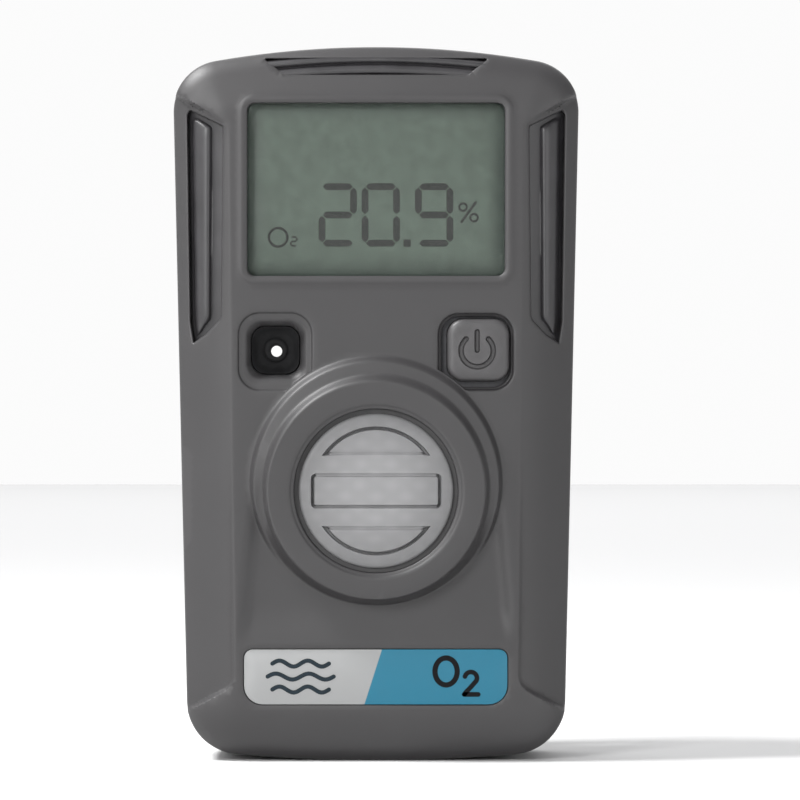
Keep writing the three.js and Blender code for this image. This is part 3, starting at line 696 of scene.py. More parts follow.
def face_height(x, z):
    """Depth y of the outer front surface."""
    gap = edge_gap(x, z)
    slope = 0.22 * ramped(6.4 - gap, 0.6) + 2.2 * (1 - np.sqrt(1 - np.clip((3.1 - gap) / 3.2, 0, 1) ** 2))
    under = 3.9 * (1 - np.sqrt(1 - np.clip((7.0 - gap) / 7.02, 0, 1) ** 2))
    roll = under + (slope - under) * ease(30, 50, z)
    border, crease = facet_border(x, z)
    scoop = 0.3 * ramped(crease, 0.35) + 0.047 * np.maximum(crease, 0) ** 2
    scoop = scoop + 0.35 * ease(0, 0.5, crease) * (1 - ease(14, 40, z))
    depth = roll + ease(0, 0.45, border) * np.maximum(scoop - roll, 0)
    width = 15.4 + (34 - z) * 0.09
    channel = 0.6 * (1 - ease(-0.8, 0.8, np.abs(x) - width)) * (1 - ease(30, 38, z)) * ease(14.4, 20.0, z)
    return face_y + depth + channel


probe = np.array([0.0, 22.0, 24.0, 0.0])
print("heights:", face_height(probe, np.array([45.0, 30.0, 70.0, 3.0])).round(2))

# %% [markdown]
# ## Steps, lips and pockets in the front
# Each feature is a closed outline and a short table: how far in from its border, and how deep below
# the face. The first row always lies on the face itself, so that it meets the filled surface without a
# gap. An open feature ends on the inner wall, and a blind one ends in a floor.

# %% Feature tables
SENSOR_Z = (span("filter_frame")[0][2] + span("filter_frame")[1][2]) / 2
key_low, key_high = span("power_button")
KEY_X, KEY_Z = (key_low[0] + key_high[0]) / 2, (key_low[2] + key_high[2]) / 2
port_low, port_high = span("sounder_grommet")
PORT_X, PORT_Z = (port_low[0] + port_high[0]) / 2, (port_low[2] + port_high[2]) / 2
PANE_Z = 72.85


def inner_wall(x, z):
    """The inside of the front wall, 3 mm behind the face and no further forward than 11 mm."""
    return np.maximum(face_height(x, z) + 3.0, -11.0)


def steps(outline_of, table, height=face_height, inward=1):
    """Loops of one feature. Each row is (inset, depth); depth counts into the wall from the surface
    at the row, which is along +Y at the front and along -Y, with inward at -1, at the back."""
    return [on(height, outline_of(inset), inward * depth) for inset, depth in table]


def pane_opening(inset):
    return block(0, PANE_Z, 35.2, 24.4, 2.2, inset, 8, 20)


pane_steps = steps(pane_opening, [
    (0.0, 0.0), (0.15, -0.05), (0.32, -0.12), (0.5, -0.14), (0.78, -0.12), (1.02, -0.06), (1.16, 0.06),
    (1.2, 0.7),
])


FOOT_R, FOOT_RISE = 16.2, 1.15


def clear_of_boss(loop, inset):
    """Where a pocket's corner would run under the sensor boss, its points move straight out from the
    boss's middle to just past its foot, a little further for each deeper row."""
    middle = np.array([0.0, SENSOR_Z + FOOT_RISE])
    away = loop - middle
    far = np.linalg.norm(away, axis=1)
    least = FOOT_R + 0.02 + 0.12 * inset
    return middle + away * (np.maximum(far, least) / far)[:, None]


def key_pocket(inset):
    return clear_of_boss(block(KEY_X - 0.33, KEY_Z - 0.22, 10.1, 10.3, 2.9, inset, 20, 6), inset)


key_steps = steps(key_pocket, [
    (0.0, 0.0), (0.12, 0.03), (0.25, 0.12), (0.32, 0.28), (0.34, 0.45), (0.42, 0.55), (0.55, 0.58),
    (0.62, 0.66), (0.66, 0.9),
])


def port_pocket(inset):
    return clear_of_boss(block(PORT_X - 0.05, PORT_Z - 0.2, 9.9, 10.4, 3.0, inset, 20, 6), inset)


def port_bowl(half, share):
    """A square with half width half, whose corner radius is a share of it: 1 makes it a circle."""
    return block(PORT_X, PORT_Z, half * 2, half * 2, half * share, 0, 20, 6)


port_steps = steps(port_pocket, [
    (0.0, 0.0), (0.1, 0.02), (0.22, 0.1), (0.3, 0.24), (0.36, 0.34), (0.48, 0.38), (0.85, 0.38), (0.98, 0.4),
])
port_steps += [at_height(port_bowl(half, share), y) for half, share, y in (
    (3.8, 0.5, -14.0), (3.68, 0.51, -13.9), (3.5, 0.53, -13.66), (3.32, 0.56, -13.3), (3.14, 0.58, -12.9),
    (3.1, 0.58, -12.0),
)]


def side_slot(sign):
    """The alarm window beside the display: straight outside, slanted at the top, pointed below."""
    corners = np.array([
        (19.45, 56.3), (21.5, 54.15), (23.55, 52.85), (24.05, 56.0), (24.45, 82.6), (23.9, 83.5),
        (19.2, 81.1),
    ])
    radii = np.array([1.5, 1.5, 0.35, 2.0, 0.8, 0.5, 0.55])
    if sign < 0:
        corners, radii = (corners * [-1, 1])[::-1], radii[::-1]
    return lambda inset: rounded(corners, radii, inset, 6, 14)


SLOT_TABLE = [(0.0, 0.0), (0.1, 0.03), (0.22, 0.14), (0.3, 0.34), (0.34, 0.8), (0.36, 1.4), (0.38, 2.2)]
slot_steps = {sign: steps(side_slot(sign), SLOT_TABLE) for sign in (-1, 1)}


def top_slot(inset):
    corners = [(-11.7, 87.35), (11.7, 87.35), (14.7, 89.7), (-14.7, 89.7)]
    return rounded(corners, [0.7, 0.7, 0.25, 0.25], inset, 6, 24)


top_steps = steps(top_slot, [(0.0, 0.0), (0.06, 0.06), (0.14, 0.3), (0.16, 1.0), (0.2, 1.6)])


def label_pocket(inset):
    (x0, _, z0), (x1, _, z1) = label_low, label_high
    corners = [(x0 - 0.2, z0 - 0.2), (x1 + 0.2, z0 - 0.2), (x1 + 0.2, z1 + 0.2), (x0 - 0.2, z1 + 0.2)]
    return rounded(corners, [2.6, 2.6, 1.3, 1.3], inset, 8, 20)


label_steps = steps(label_pocket, [(0.0, 0.0), (0.06, 0.03), (0.12, 0.12), (0.14, 0.45)])
print("feature rows:", len(pane_steps), len(key_steps), len(port_steps), len(label_steps))

# %% [markdown]
# ## The sensor boss
# The boss rises from the face in two steps, with a narrow terrace between them, to a flat ring on
# which a calibration cap seats. Its top is set a little lower than its foot, so its upper wall is the
# wider one. Each loop is a circle; two functions give its centre and its depth from its radius.

# %% Boss loops
CREST_R, WELL_R = 13.6, 10.46


def boss_rise(r, low):
    """Share of the boss's height at radius r. Round the top it climbs in two smooth steps with a
    terrace between them; low, from 0 to 1, turns that into one smooth wall round the bottom."""
    terraced = 0.42 * (1 - ease(15.45, FOOT_R, r)) + 0.08 * np.clip((15.6 - r) / 1.0, 0, 1)
    terraced = terraced + 0.5 * (1 - ease(CREST_R + 0.1, 14.6, r))
    return terraced * (1 - low) + (1 - ease(CREST_R, 15.6, r)) * low


def boss_loop(r, count=160):
    """A circle whose centre sinks from the foot's to the sensor's as the radius shrinks, at a
    share of the way from the face to the boss's top."""
    ring = circle(r, 0.0, SENSOR_Z + FOOT_RISE * (r - CREST_R) / (FOOT_R - CREST_R), count)
    low = ease(0.0, 0.75, (SENSOR_Z - ring[:, 1]) / r)
    foot = face_height(ring[:, 0], ring[:, 1])
    return at_height(ring, foot + (boss_y - foot) * boss_rise(r, low))


def sensor_ring(r, y):
    return at_height(circle(r, 0.0, SENSOR_Z, 160), y)


boss_rows = [boss_loop(r) for r in np.linspace(FOOT_R, CREST_R, 34)]
boss_rows += [sensor_ring(r, boss_y) for r in (12.6, 11.4)]
boss_rows += [
    sensor_ring(r, boss_y + drop) for r, drop in (
        (11.1, 0.02), (10.95, 0.09), (10.85, 0.2), (10.7, 0.26), (10.55, 0.3), (WELL_R, 0.4), (WELL_R, 1.25),
        (WELL_R - 0.1, 1.35), (9.2, 1.4), (9.1, 1.6),
    )
]
boss_inner = circle(9.1, 0.0, SENSOR_Z, 160)
boss_rows.append(on(inner_wall, boss_inner))
print("boss rises", round(face_y - boss_y, 2), "mm")

# %% [markdown]
# ## The front housing
# The shell is closed: the filled face, the features, the outer wall back to the seam, the seam's flat
# rim, and the inside wall. Where the face meets the outer wall, a cubic curve starts along the face's
# own slope and ends straight back, so no crease shows however steep the face is there.


# %% Rim curve
WALL = 2.4
inner_loop = case_outline(WALL)


def rim_rows(height, inner, seam, direction, wall_inset=0.16, rows=9, start=0.45):
    """Rows from the face's border to the seam, across the seam's rim, and up the inside wall. A cubic
    curve in (inset, depth) runs for each point: its first leg follows the face's slope and its last
    leg runs straight along the wall."""
    near, far = case_outline(start), case_outline(start + 0.15)
    y0 = height(near[:, 0], near[:, 1])
    slope = (y0 - height(far[:, 0], far[:, 1])) / 0.15 * direction
    slope = np.clip(slope, 0.05, 4.0)
    run = start - wall_inset
    rise = 0.55 + slope * run * 0.9
    loops = []
    for t in np.linspace(0, 1, rows):
        a, b, c, d = (1 - t) ** 3, 3 * t * (1 - t) ** 2, 3 * t * t * (1 - t), t**3
        inset = a * start + b * (start - run * 0.6) + (c + d) * wall_inset
        y = y0 + direction * (b * slope * run * 0.6 + c * (rise * 0.55) + d * rise)
        loops.append(at_height(case_outline(inset), y))
    last = loops[-1][:, 1]
    for t in np.linspace(0, 1, 7)[1:]:
        outline = case_outline(wall_inset * (1 - t))
        loops.append(at_height(outline, last + (seam - direction * 0.2 - last) * t))
    loops += [at_height(case_outline(inset), seam) for inset in (0.14, 0.9, WALL)]
    inner_y = inner(inner_loop[:, 0], inner_loop[:, 1])
    loops += [at_height(inner_loop, seam + (inner_y - seam) * t) for t in (0.3, 0.6, 1.0)]
    return loops


front_rim = rim_rows(face_height, inner_wall, seam_y, 1)
print("rim rows:", len(front_rim), "of", len(front_rim[0]), "points")


# %% Assemble the front housing
def ledge_points(spacing=0.24):
    """A finer staggered grid, kept only on the facets' ledges and creases, where the face is steepest."""
    gx, gz = np.meshgrid(np.arange(17.2, 26.0, spacing), np.arange(4.0, 88.0, spacing))
    gx = gx + (np.arange(gx.shape[0]) % 2)[:, None] * spacing / 2
    points = np.stack([gx.ravel(), gz.ravel()], 1)
    border = facet_border(points[:, 0], points[:, 1])[0]
    points = points[(border > -0.2) & (border < 0.62)]
    return np.concatenate([points, points * [-1, 1]])


open_features = [pane_steps, key_steps, port_steps]
for rows in open_features:
    rows.append(on(inner_wall, flat(rows[-1])))
blind_features = [slot_steps[-1], slot_steps[1], top_steps, label_steps]
outer_holes = [flat(rows[0]) for rows in (*open_features, *blind_features, boss_rows)]
inner_holes = [flat(rows[-1]) for rows in (*open_features, boss_rows)]

front_parts = [
    fill(flat(front_rim[0]), outer_holes, face_height, 0.62, ledge_points()),
    fill(inner_loop, inner_holes, inner_wall, 2.4),
    band(front_rim),
    *[band(rows) for rows in (*open_features, *blind_features, boss_rows)],
]
for rows in blind_features:
    edge = flat(rows[-1])
    depth = rows[-1][:, 1].mean() - face_height(edge[:, 0], edge[:, 1]).mean()
    front_parts.append(fill(edge, [], lambda x, z, d=depth: face_height(x, z) + d, 0.9))
piece(
    "front_housing_shell", front_parts, "case", case_plastic, ["front_housing"], crisp=40
)

# %% [markdown]
# ## The rear housing
# The back is a plain shallow tub with a larger rounding. Four screws sit at the bottom of round wells,
# and a blank label lies in a recess under the clip's tip. It is made the same way as the front.


# %% Height of the back
def back_height(x, z):
    """Flat at the back plane, and a quarter ellipse 4.8 mm wide and 5 mm deep at the edge."""
    gap = edge_gap(x, z)
    return back_y - 5.0 * (1 - np.sqrt(1 - np.clip((4.8 - gap) / 4.82, 0, 1) ** 2))


def back_inner(x, z):
    return np.minimum(back_height(x, z) - 2.4, 7.0)


screws = {}
for i in range(1, 5):
    low, high = span(f"housing_screw_{i}")
    screws[f"housing_screw_{i}"] = ((low[0] + high[0]) / 2, (low[2] + high[2]) / 2, high[1])

SCREW_WELL_R, WELL_BELOW_HEAD, POST_R, POST_END = 2.55, 1.45, 3.0, 3.6
wells, posts = [], []
for x, z, head_y in screws.values():
    rows = steps(
        lambda inset, x=x, z=z: circle(SCREW_WELL_R - inset, x, z, 56),
        [(0, 0), (0.15, 0.04), (0.3, 0.18), (0.35, 0.4)], back_height, -1,
    )
    rows.append(at_height(flat(rows[-1]), head_y - WELL_BELOW_HEAD))
    wells.append(rows)
    post = circle(POST_R, x, z, 40)
    posts.append([on(back_inner, post), at_height(post, POST_END)])

rear_label_low, rear_label_high = span("rear_label")
rear_label_z = (rear_label_low[2] + rear_label_high[2]) / 2


def rear_label_pocket(inset):
    return block(0, rear_label_z, 28.4, 14.4, 1.7, inset, 8, 14)


LABEL_DEPTH, PAD_DEPTH = 0.36, 0.25
rear_label_steps = steps(
    rear_label_pocket, [(0, 0), (0.06, 0.03), (0.12, 0.14), (0.14, LABEL_DEPTH)], back_height, -1
)


def clip_pad(inset):
    return block(0, 58.5, 21.6, 37.6, 3.4, inset, 8, 14)


pad_steps = steps(
    clip_pad, [(0, 0), (0.12, 0.03), (0.25, 0.14), (0.3, 0.22), (0.5, PAD_DEPTH)], back_height, -1
)

rear_rim = rim_rows(back_height, back_inner, seam_y + 0.05, -1)
rear_parts = [
    fill(flat(rear_rim[0]), [flat(r[0]) for r in (*wells, rear_label_steps, pad_steps)], back_height, 0.9),
    fill(inner_loop, [flat(p[0]) for p in posts], back_inner, 2.4),
    band(rear_rim),
    *[band(rows) for rows in (*wells, rear_label_steps, pad_steps, *posts)],
    *[cap(rows[-1]) for rows in (*wells, *posts)],
    fill(flat(rear_label_steps[-1]), [], lambda x, z: back_height(x, z) - LABEL_DEPTH, 3.0),
    fill(flat(pad_steps[-1]), [], lambda x, z: back_height(x, z) - PAD_DEPTH, 3.0),
]
piece(
    "rear_housing_shell", rear_parts, "case", rear_plastic, ["rear_housing"], crisp=40
)

# %% [markdown]
# ## The display
# Behind the clear cover lies the cell. Its dark marks are the segments of a number, drawn as six-sided
# bars with pointed ends, as etched electrodes are. They stand 0.03 mm proud of the field.


# %% Cover and cell
def cover_outline(inset):
    return block(0, PANE_Z, 32.6, 21.8, 1.35, inset, 8, 10)


def cell_outline(inset):
    return block(0, PANE_Z + 0.05, 33.6, 22.6, 0.4, inset, 3, 6)


COVER_FRONT, COVER_BACK = -14.2, -12.4
CELL_FACE, CELL_BACK = -12.35, -10.3
SEGMENT_FRONT, SEGMENT_BACK = CELL_FACE - 0.03, CELL_FACE - 0.005
piece(
    "display_cover", plate(cover_outline, COVER_FRONT, COVER_BACK, 0.12), "case",
    cover_material, ["display_window"],
)
piece(
    "display_cell", plate(cell_outline, CELL_FACE, CELL_BACK, 0.05), "case",
    cell_material, ["display_glass"],
)


# %% Segment shapes
def flat_prism(outline, y_front, y_back):
    """A closed thin plate from one outline."""
    rows = [at_height(outline, y_front), at_height(outline, y_back)]
    return [band(rows), flat_end(rows[0], 9.0), flat_end(rows[1], 9.0)]


def washer(hole, rim, y_front, y_back):
    """A closed flat ring: up the hole, across the front, down the rim, and back across."""
    return band([at_height(loop, y) for loop, y in (
        (hole, y_back), (hole, y_front), (rim, y_front), (rim, y_back), (hole, y_back))])


def bar(x0, z0, x1, z1, half):
    """A bar between two points, with both ends pointed."""
    start, stop = np.array([x0, z0]), np.array([x1, z1])
    along = (stop - start) / np.linalg.norm(stop - start)
    across = np.array([along[1], -along[0]])
    tip = along * half
    return np.array([
        start, start + tip + across * half, stop - tip + across * half, stop,
        stop - tip - across * half, start + tip - across * half,
    ])


def digit(lit, x, z, width, height, half, slant=0.0):
    """The lit bars of a seven-bar digit whose middle is at (x, z). Bars are named a to g, clockwise
    from the top, with g in the middle."""
    w, h, g = width / 2 - half, height / 2 - half, 0.2 * half
    ends = {
        "a": (-w + g, h, w - g, h), "b": (w, h - g, w, g), "c": (w, -g, w, -h + g),
        "d": (-w + g, -h, w - g, -h), "e": (-w, -g, -w, -h + g), "f": (-w, h - g, -w, g),
        "g": (-w + g, 0, w - g, 0),
    }
    return [bar(*ends[k], half) + [x, z] for k in lit]


DIGIT_Z, DIGIT_H = 69.65, 8.1
marks = [
    *digit("abdeg", -4.9, DIGIT_Z, 4.9, DIGIT_H, 0.44),
    *digit("abcdef", 0.6, DIGIT_Z, 4.9, DIGIT_H, 0.44),
    *digit("abcdfg", 7.4, DIGIT_Z, 4.9, DIGIT_H, 0.44),
    block(3.95, 66.05, 0.95, 0.95, 0.12, 0, 3, 1),
    *digit("abdeg", -10.5, 66.27, 0.95, 1.35, 0.11),
    ribbon([(10.9, 68.75), (11.8, 70.0), (12.7, 71.25)], 0.17, 4),
]
rings = [((-12.5, 66.8), 1.34, 1.02), ((11.1, 70.65), 0.62, 0.33), ((12.5, 69.3), 0.62, 0.33)]
segment_parts = []
for outline in marks:
    segment_parts += flat_prism(outline, SEGMENT_FRONT, SEGMENT_BACK)
for (x, z), big, small in rings:
    hole, rim = circle(small, x, z, 40), circle(big, x, z, 40)
    segment_parts.append(washer(hole, rim, SEGMENT_FRONT, SEGMENT_BACK))
piece("display_segments", segment_parts, "case", ink, close=1e-7)

# %% [markdown]
# ## The smoked alarm bars
# Each side bar lies in its slot: a dark valley, a rounded ridge that runs its whole length, and a
# second valley. Across the slot the shape is a bump, along it the bump fades out at the ends. The top bar
# has two ridges and wraps over the crown, so that its flash is seen from above as well.


# %% Side bars
def side_bar(sign, rows=120, cols=34):
    """x runs from the slot's inner edge to its outer edge at each height z. Depth is the face plus a
    recess, less a ridge: half an ellipse across the bar, which fades as a quarter ellipse at each end."""
    edge = side_slot(1)(0.34)
    z = np.linspace(edge[:, 1].min() + 0.02, edge[:, 1].max() - 0.02, rows)
    x0, z0 = edge[:, 0], edge[:, 1]
    x1, z1 = np.roll(x0, -1), np.roll(z0, -1)
    hit = (z0 > z[:, None]) != (z1 > z[:, None])
    cut = np.where(hit, x0 + (z[:, None] - z0) * (x1 - x0) / np.where(z1 == z0, 1e-9, z1 - z0), np.nan)
    inner, outer = np.nanmin(cut, 1), np.nanmax(cut, 1)
    u = np.linspace(0, 1, cols)
    x = inner[:, None] + (outer - inner)[:, None] * u
    zz = np.broadcast_to(z[:, None], x.shape)
    middle = (inner + (outer - inner) * 0.6)[:, None]
    reach = np.maximum((outer - inner)[:, None] * 0.4 - 0.55, 0.15)
    ridge = np.sqrt(1 - np.clip((x - middle) / reach, -1, 1) ** 2)
    low_end = np.sqrt(1 - np.clip((57.6 - zz) / 3.2, 0, 1) ** 2)
    high_end = np.sqrt(1 - np.clip((zz - 79.6) / 2.4, 0, 1) ** 2)
    top = face_height(x, zz) + 1.35 - 1.0 * ridge * low_end * high_end
    bottom = face_height(x, zz) + 2.1
    grid = np.stack([x * sign, top, zz], -1)
    under = np.stack([x * sign, bottom, zz], -1)
    ring = np.concatenate([grid, under[:, ::-1]], 1)
    caps = [np.concatenate([a, b[::-1]]) for a, b in ((grid[0], under[0]), (grid[-1], under[-1]))]
    here, last = np.arange(cols - 1), 2 * cols - 1
    strip = np.stack([here, here + 1, last - 1 - here, last - here], 1)
    return [band(ring), *[(c, strip) for c in caps]]


for sign, name in ((-1, "left"), (1, "right")):
    piece(
        f"alarm_bar_{name}", side_bar(sign), "case", smoked, [f"light_bar_{name}"],
        crisp=75,
    )


# %% Top bar
def top_bar(cols=97):
    """A profile in (z below the crown, y) is carried along x. At each profile point the half width
    follows the slanted ends, and the height drops with the crown's arc, x squared over twice its radius."""
    base = np.array([
        # z at the middle, y behind the face, half width
        (87.58, 1.3, 11.6), (87.58, 0.5, 11.6), (87.66, 0.3, 11.7), (87.82, 0.14, 11.85),
        (88.05, 0.06, 12.1), (88.35, 0.04, 12.45), (88.55, 0.16, 12.7), (88.7, 0.42, 12.9),
        (88.82, 0.75, 13.0), (89.0, 0.78, 13.2), (89.12, 0.42, 13.4), (89.3, 0.1, 13.7),
        (89.55, 0.0, 14.0), (89.8, 0.06, 14.3), (89.98, 0.3, 14.5), (90.1, 0.75, 14.7), (90.25, 1.3, 14.9),
    ])
    face = face_height(np.zeros(len(base)), base[:, 0])
    front_y = face + base[:, 1]
    over = np.array([(90.75, -9.2, 15.1), (91.05, -8.6, 15.15), (91.22, -8.0, 15.2), (91.3, -7.2, 15.2),
                     (91.36, -6.0, 15.2), (91.34, -5.2, 15.1), (91.1, -5.0, 15.0), (90.6, -5.2, 14.9),
                     (89.0, -8.6, 13.0), (88.2, -9.8, 12.0)])
    z = np.concatenate([base[:, 0], over[:, 0]])
    y = np.concatenate([front_y, over[:, 1]])
    half = np.concatenate([base[:, 2], over[:, 2]])
    u = np.linspace(-1, 1, cols)
    x = half[None] * u[:, None]
    drop = x**2 / (2 * CROWN_R)
    rings_ = np.stack([x, np.broadcast_to(y[None], x.shape), z[None] - drop], -1)
    ends = [(r, np.arange(len(r))[None]) for r in (rings_[0], rings_[-1])]
    return [band(rings_), *ends]


piece("alarm_bar_top", top_bar(), "case", smoked, ["light_bar_top"], crisp=60)

# %% [markdown]
# ## Key and sounder port
# The key cap stands proud of the face with softly rolled edges and a slight crown, and the power sign
# is sunk into it: a ring open at the top, and a bar. The port is a funnel lined with black rubber that
# holds a small white membrane, which keeps dust out and lets the sound through.


# %% Key cap
def key_outline(inset):
    return block(KEY_X, KEY_Z, 7.9, 7.9, 2.05, inset, 10, 6)


key_top = key_low[1]


def key_height(x, z):
    """A shallow crown: it falls 0.12 mm to the rim, as the square of the distance from the middle."""
    far = np.maximum(np.abs(x - KEY_X), np.abs(z - KEY_Z)) / 3.9
    return key_top + 0.02 + 0.12 * far**2


def key_rows():
    table = [(0.75, 0.0), (0.5, 0.06), (0.3, 0.16), (0.14, 0.34), (0.05, 0.58), (0.0, 0.85), (0.0, 2.3)]
    flange = block(KEY_X, KEY_Z, 9.4, 9.4, 2.2, 0, 10, 6)
    rows = [on(key_height, key_outline(inset), drop) for inset, drop in table]
    return rows + [at_height(flange, y) for y in (key_high[1] - 0.6, key_high[1])]


sign_ring = ribbon(arc_path(KEY_X - 0.15, KEY_Z - 0.1, 2.05, 134, 406, 36), 0.38, 6)
sign_bar = ribbon(np.array([(KEY_X - 0.15, KEY_Z - 0.05 + t) for t in np.linspace(0, 2.35, 8)]), 0.36, 6)


def groove(outline, half, height, depth):
    """A round-bottomed groove under a stroke's outline: its loops shrink towards the stroke's middle."""
    rows = [on(height, outline)]
    for share, deep in ((0.12, 0.35), (0.3, 0.8), (0.55, 1.0)):
        rows.append(on(height, shrink(outline, half * share), depth * deep))
    return [band(rows), fill(flat(rows[-1]), [], lambda x, z: height(x, z) + depth, 9.0)]


def shrink(loop, distance):
    """Moves each point of a dense loop along its inward normal, worked out from its neighbours."""
    along = np.roll(loop, -1, 0) - np.roll(loop, 1, 0)
    along /= np.linalg.norm(along, axis=1, keepdims=True)
    area = (loop[:, 0] * np.roll(loop[:, 1], -1) - np.roll(loop[:, 0], -1) * loop[:, 1]).sum()
    inward = np.stack([-along[:, 1], along[:, 0]], 1) * np.sign(area)
    return loop + inward * distance


rows = key_rows()
key_parts = [
    band(rows),
    fill(flat(rows[0]), [sign_ring, sign_bar], key_height, 0.45),
    flat_end(rows[-1], 3.0),
    *groove(sign_ring, 0.38, key_height, 0.5),
    *groove(sign_bar, 0.36, key_height, 0.5),
]
piece("key_cap", key_parts, "button", key_plastic, ["power_button"], crisp=38)


# %% Port liner and membrane
LINER = [
    # half width, share of it that is the corner radius, y
    (3.06, 0.58, -11.2), (3.06, 0.58, -12.85), (3.0, 0.59, -12.95), (2.88, 0.61, -12.85), (2.66, 0.66, -12.5),
    (2.4, 0.72, -12.15), (2.1, 0.8, -11.9), (1.8, 0.92, -11.76), (1.64, 1.0, -11.6), (1.56, 1.0, -11.52),
    (1.48, 1.0, -11.6), (1.4, 1.0, -11.72), (1.2, 1.0, -11.78), (0.95, 1.0, -11.75), (0.72, 1.0, -11.65),
    (0.68, 1.0, -11.3), (1.5, 1.0, -10.9), (2.6, 0.8, -10.9), (3.06, 0.58, -11.2),
]


def liner():
    """A funnel: a rounded square at the bowl that turns into circles round the membrane, with a ring
    groove, then back along the outside of its wall."""
    return [band([
        at_height(block(PORT_X, PORT_Z, half * 2, half * 2, half * share, 0, 12, 3), y)
        for half, share, y in LINER
    ])]


piece("sounder_liner", liner(), "case", liner_rubber, ["sounder_grommet"], crisp=50)


def dome(r, x, z, y_rim, rise, y_back, count=40):
    """A disc with a domed front: depth is the rim's plus the rise times one minus radius squared."""
    shares = np.array([1.0, 0.97, 0.85, 0.65, 0.4, 0.18])
    loops = [at_height(circle(r, x, z, count), y_back)]
    loops += [at_height(circle(r * s, x, z, count), y_rim - rise * (1 - s * s)) for s in shares]
    return [band(loops), cap(loops[0]), cap(loops[-1])]


piece(
    "port_membrane", dome(0.7, PORT_X + 0.1, PORT_Z - 0.15, -11.8, 0.12, -11.4), "case",
    membrane, ["sounder_membrane"],
)

# %% [markdown]
# ## The filter
# The filter is a light disc moulded over a woven cloth. Three windows are set in its face: a bar
# across the middle and a segment above and below. A narrow gap follows each segment's arc and the bar's
# ends, and the cloth's coarse diamonds show faintly through the middle.

# %% Filter disc
filter_low, filter_high = span("filter_frame")
FILTER_R = (filter_high[0] - filter_low[0]) / 2
FILTER_Y = filter_low[1]


def filter_height(x, z):
    """Slightly domed: half a millimetre from the middle to the rim, as the cube of the radius."""
    return FILTER_Y - 0.14 + 0.5 * ((x**2 + (z - SENSOR_Z) ** 2) / FILTER_R**2) ** 1.5


def segment_window(sign):
    """The part of a circle beyond a straight line. An inset takes as much from the circle's radius
    as it adds to the line's distance from the middle, so the sharp tips stay sharp."""
    def outline(inset):
        radius, line = 8.2 - inset, 4.45 + inset
        half = np.degrees(np.arccos(line / radius))
        curve = arc_path(0, SENSOR_Z, radius, 90 * sign - half, 90 * sign + half, 48)
        chord = curve[-1] + (curve[0] - curve[-1]) * np.linspace(0, 1, 26)[1:-1][:, None]
        return np.concatenate([curve, chord])

    dark = 1 + 0.7 * ease(0.78, 1.0, np.abs(np.linspace(-1, 1, 48)))
    return outline, np.concatenate([dark, np.full(24, 0.22)])


def bar_window():
    """The middle window, whose ends are marked as gaps and whose long sides are not."""
    def outline(inset):
        return block(0, SENSOR_Z, 16.6, 4.5, 0.7, inset, 8, 24)

    p = outline(0)
    low = p[:, 1] < SENSOR_Z - 2
    return outline, np.maximum(ease(7.4, 8.0, np.abs(p[:, 0])), np.where(low, 0.65, 0.3))


WINDOW_EDGE = [
    (0, 0, 0), (0.07, 0.4, 0.1), (0.14, 0.9, 0.3), (0.22, 1.0, 0.5), (0.32, 0.9, 0.8), (0.42, 0.35, 1.0),
    (0.5, 0.0, 1.0),
]


WINDOW_DIP, WINDOW_STEP = 0.8, 0.08


def window_rows(outline, gap_share):
    """Rows into a window: along a marked gap the surface dips and comes back; elsewhere it only
    steps down."""
    return [
        on(filter_height, outline(inset), WINDOW_DIP * dip * gap_share + WINDOW_STEP * step)
        for inset, dip, step in WINDOW_EDGE
    ]


windows = [window_rows(*w) for w in (segment_window(1), segment_window(-1), bar_window())]
disc_rows = [on(filter_height, circle(FILTER_R - 0.35, 0, SENSOR_Z, 144))]
for inset, y in ((0.15, FILTER_Y + 0.42), (0.03, FILTER_Y + 0.55), (0, FILTER_Y + 0.7), (0, filter_high[1])):
    disc_rows.append(at_height(circle(FILTER_R - inset, 0, SENSOR_Z, 144), y))
filter_parts = [
    band(disc_rows),
    fill(flat(disc_rows[0]), [flat(w[0]) for w in windows], filter_height, 0.5),
    flat_end(disc_rows[-1]),
    *[band(w) for w in windows],
    *[fill(flat(w[-1]), [], lambda x, z: filter_height(x, z) + WINDOW_STEP, 0.5) for w in windows],
]


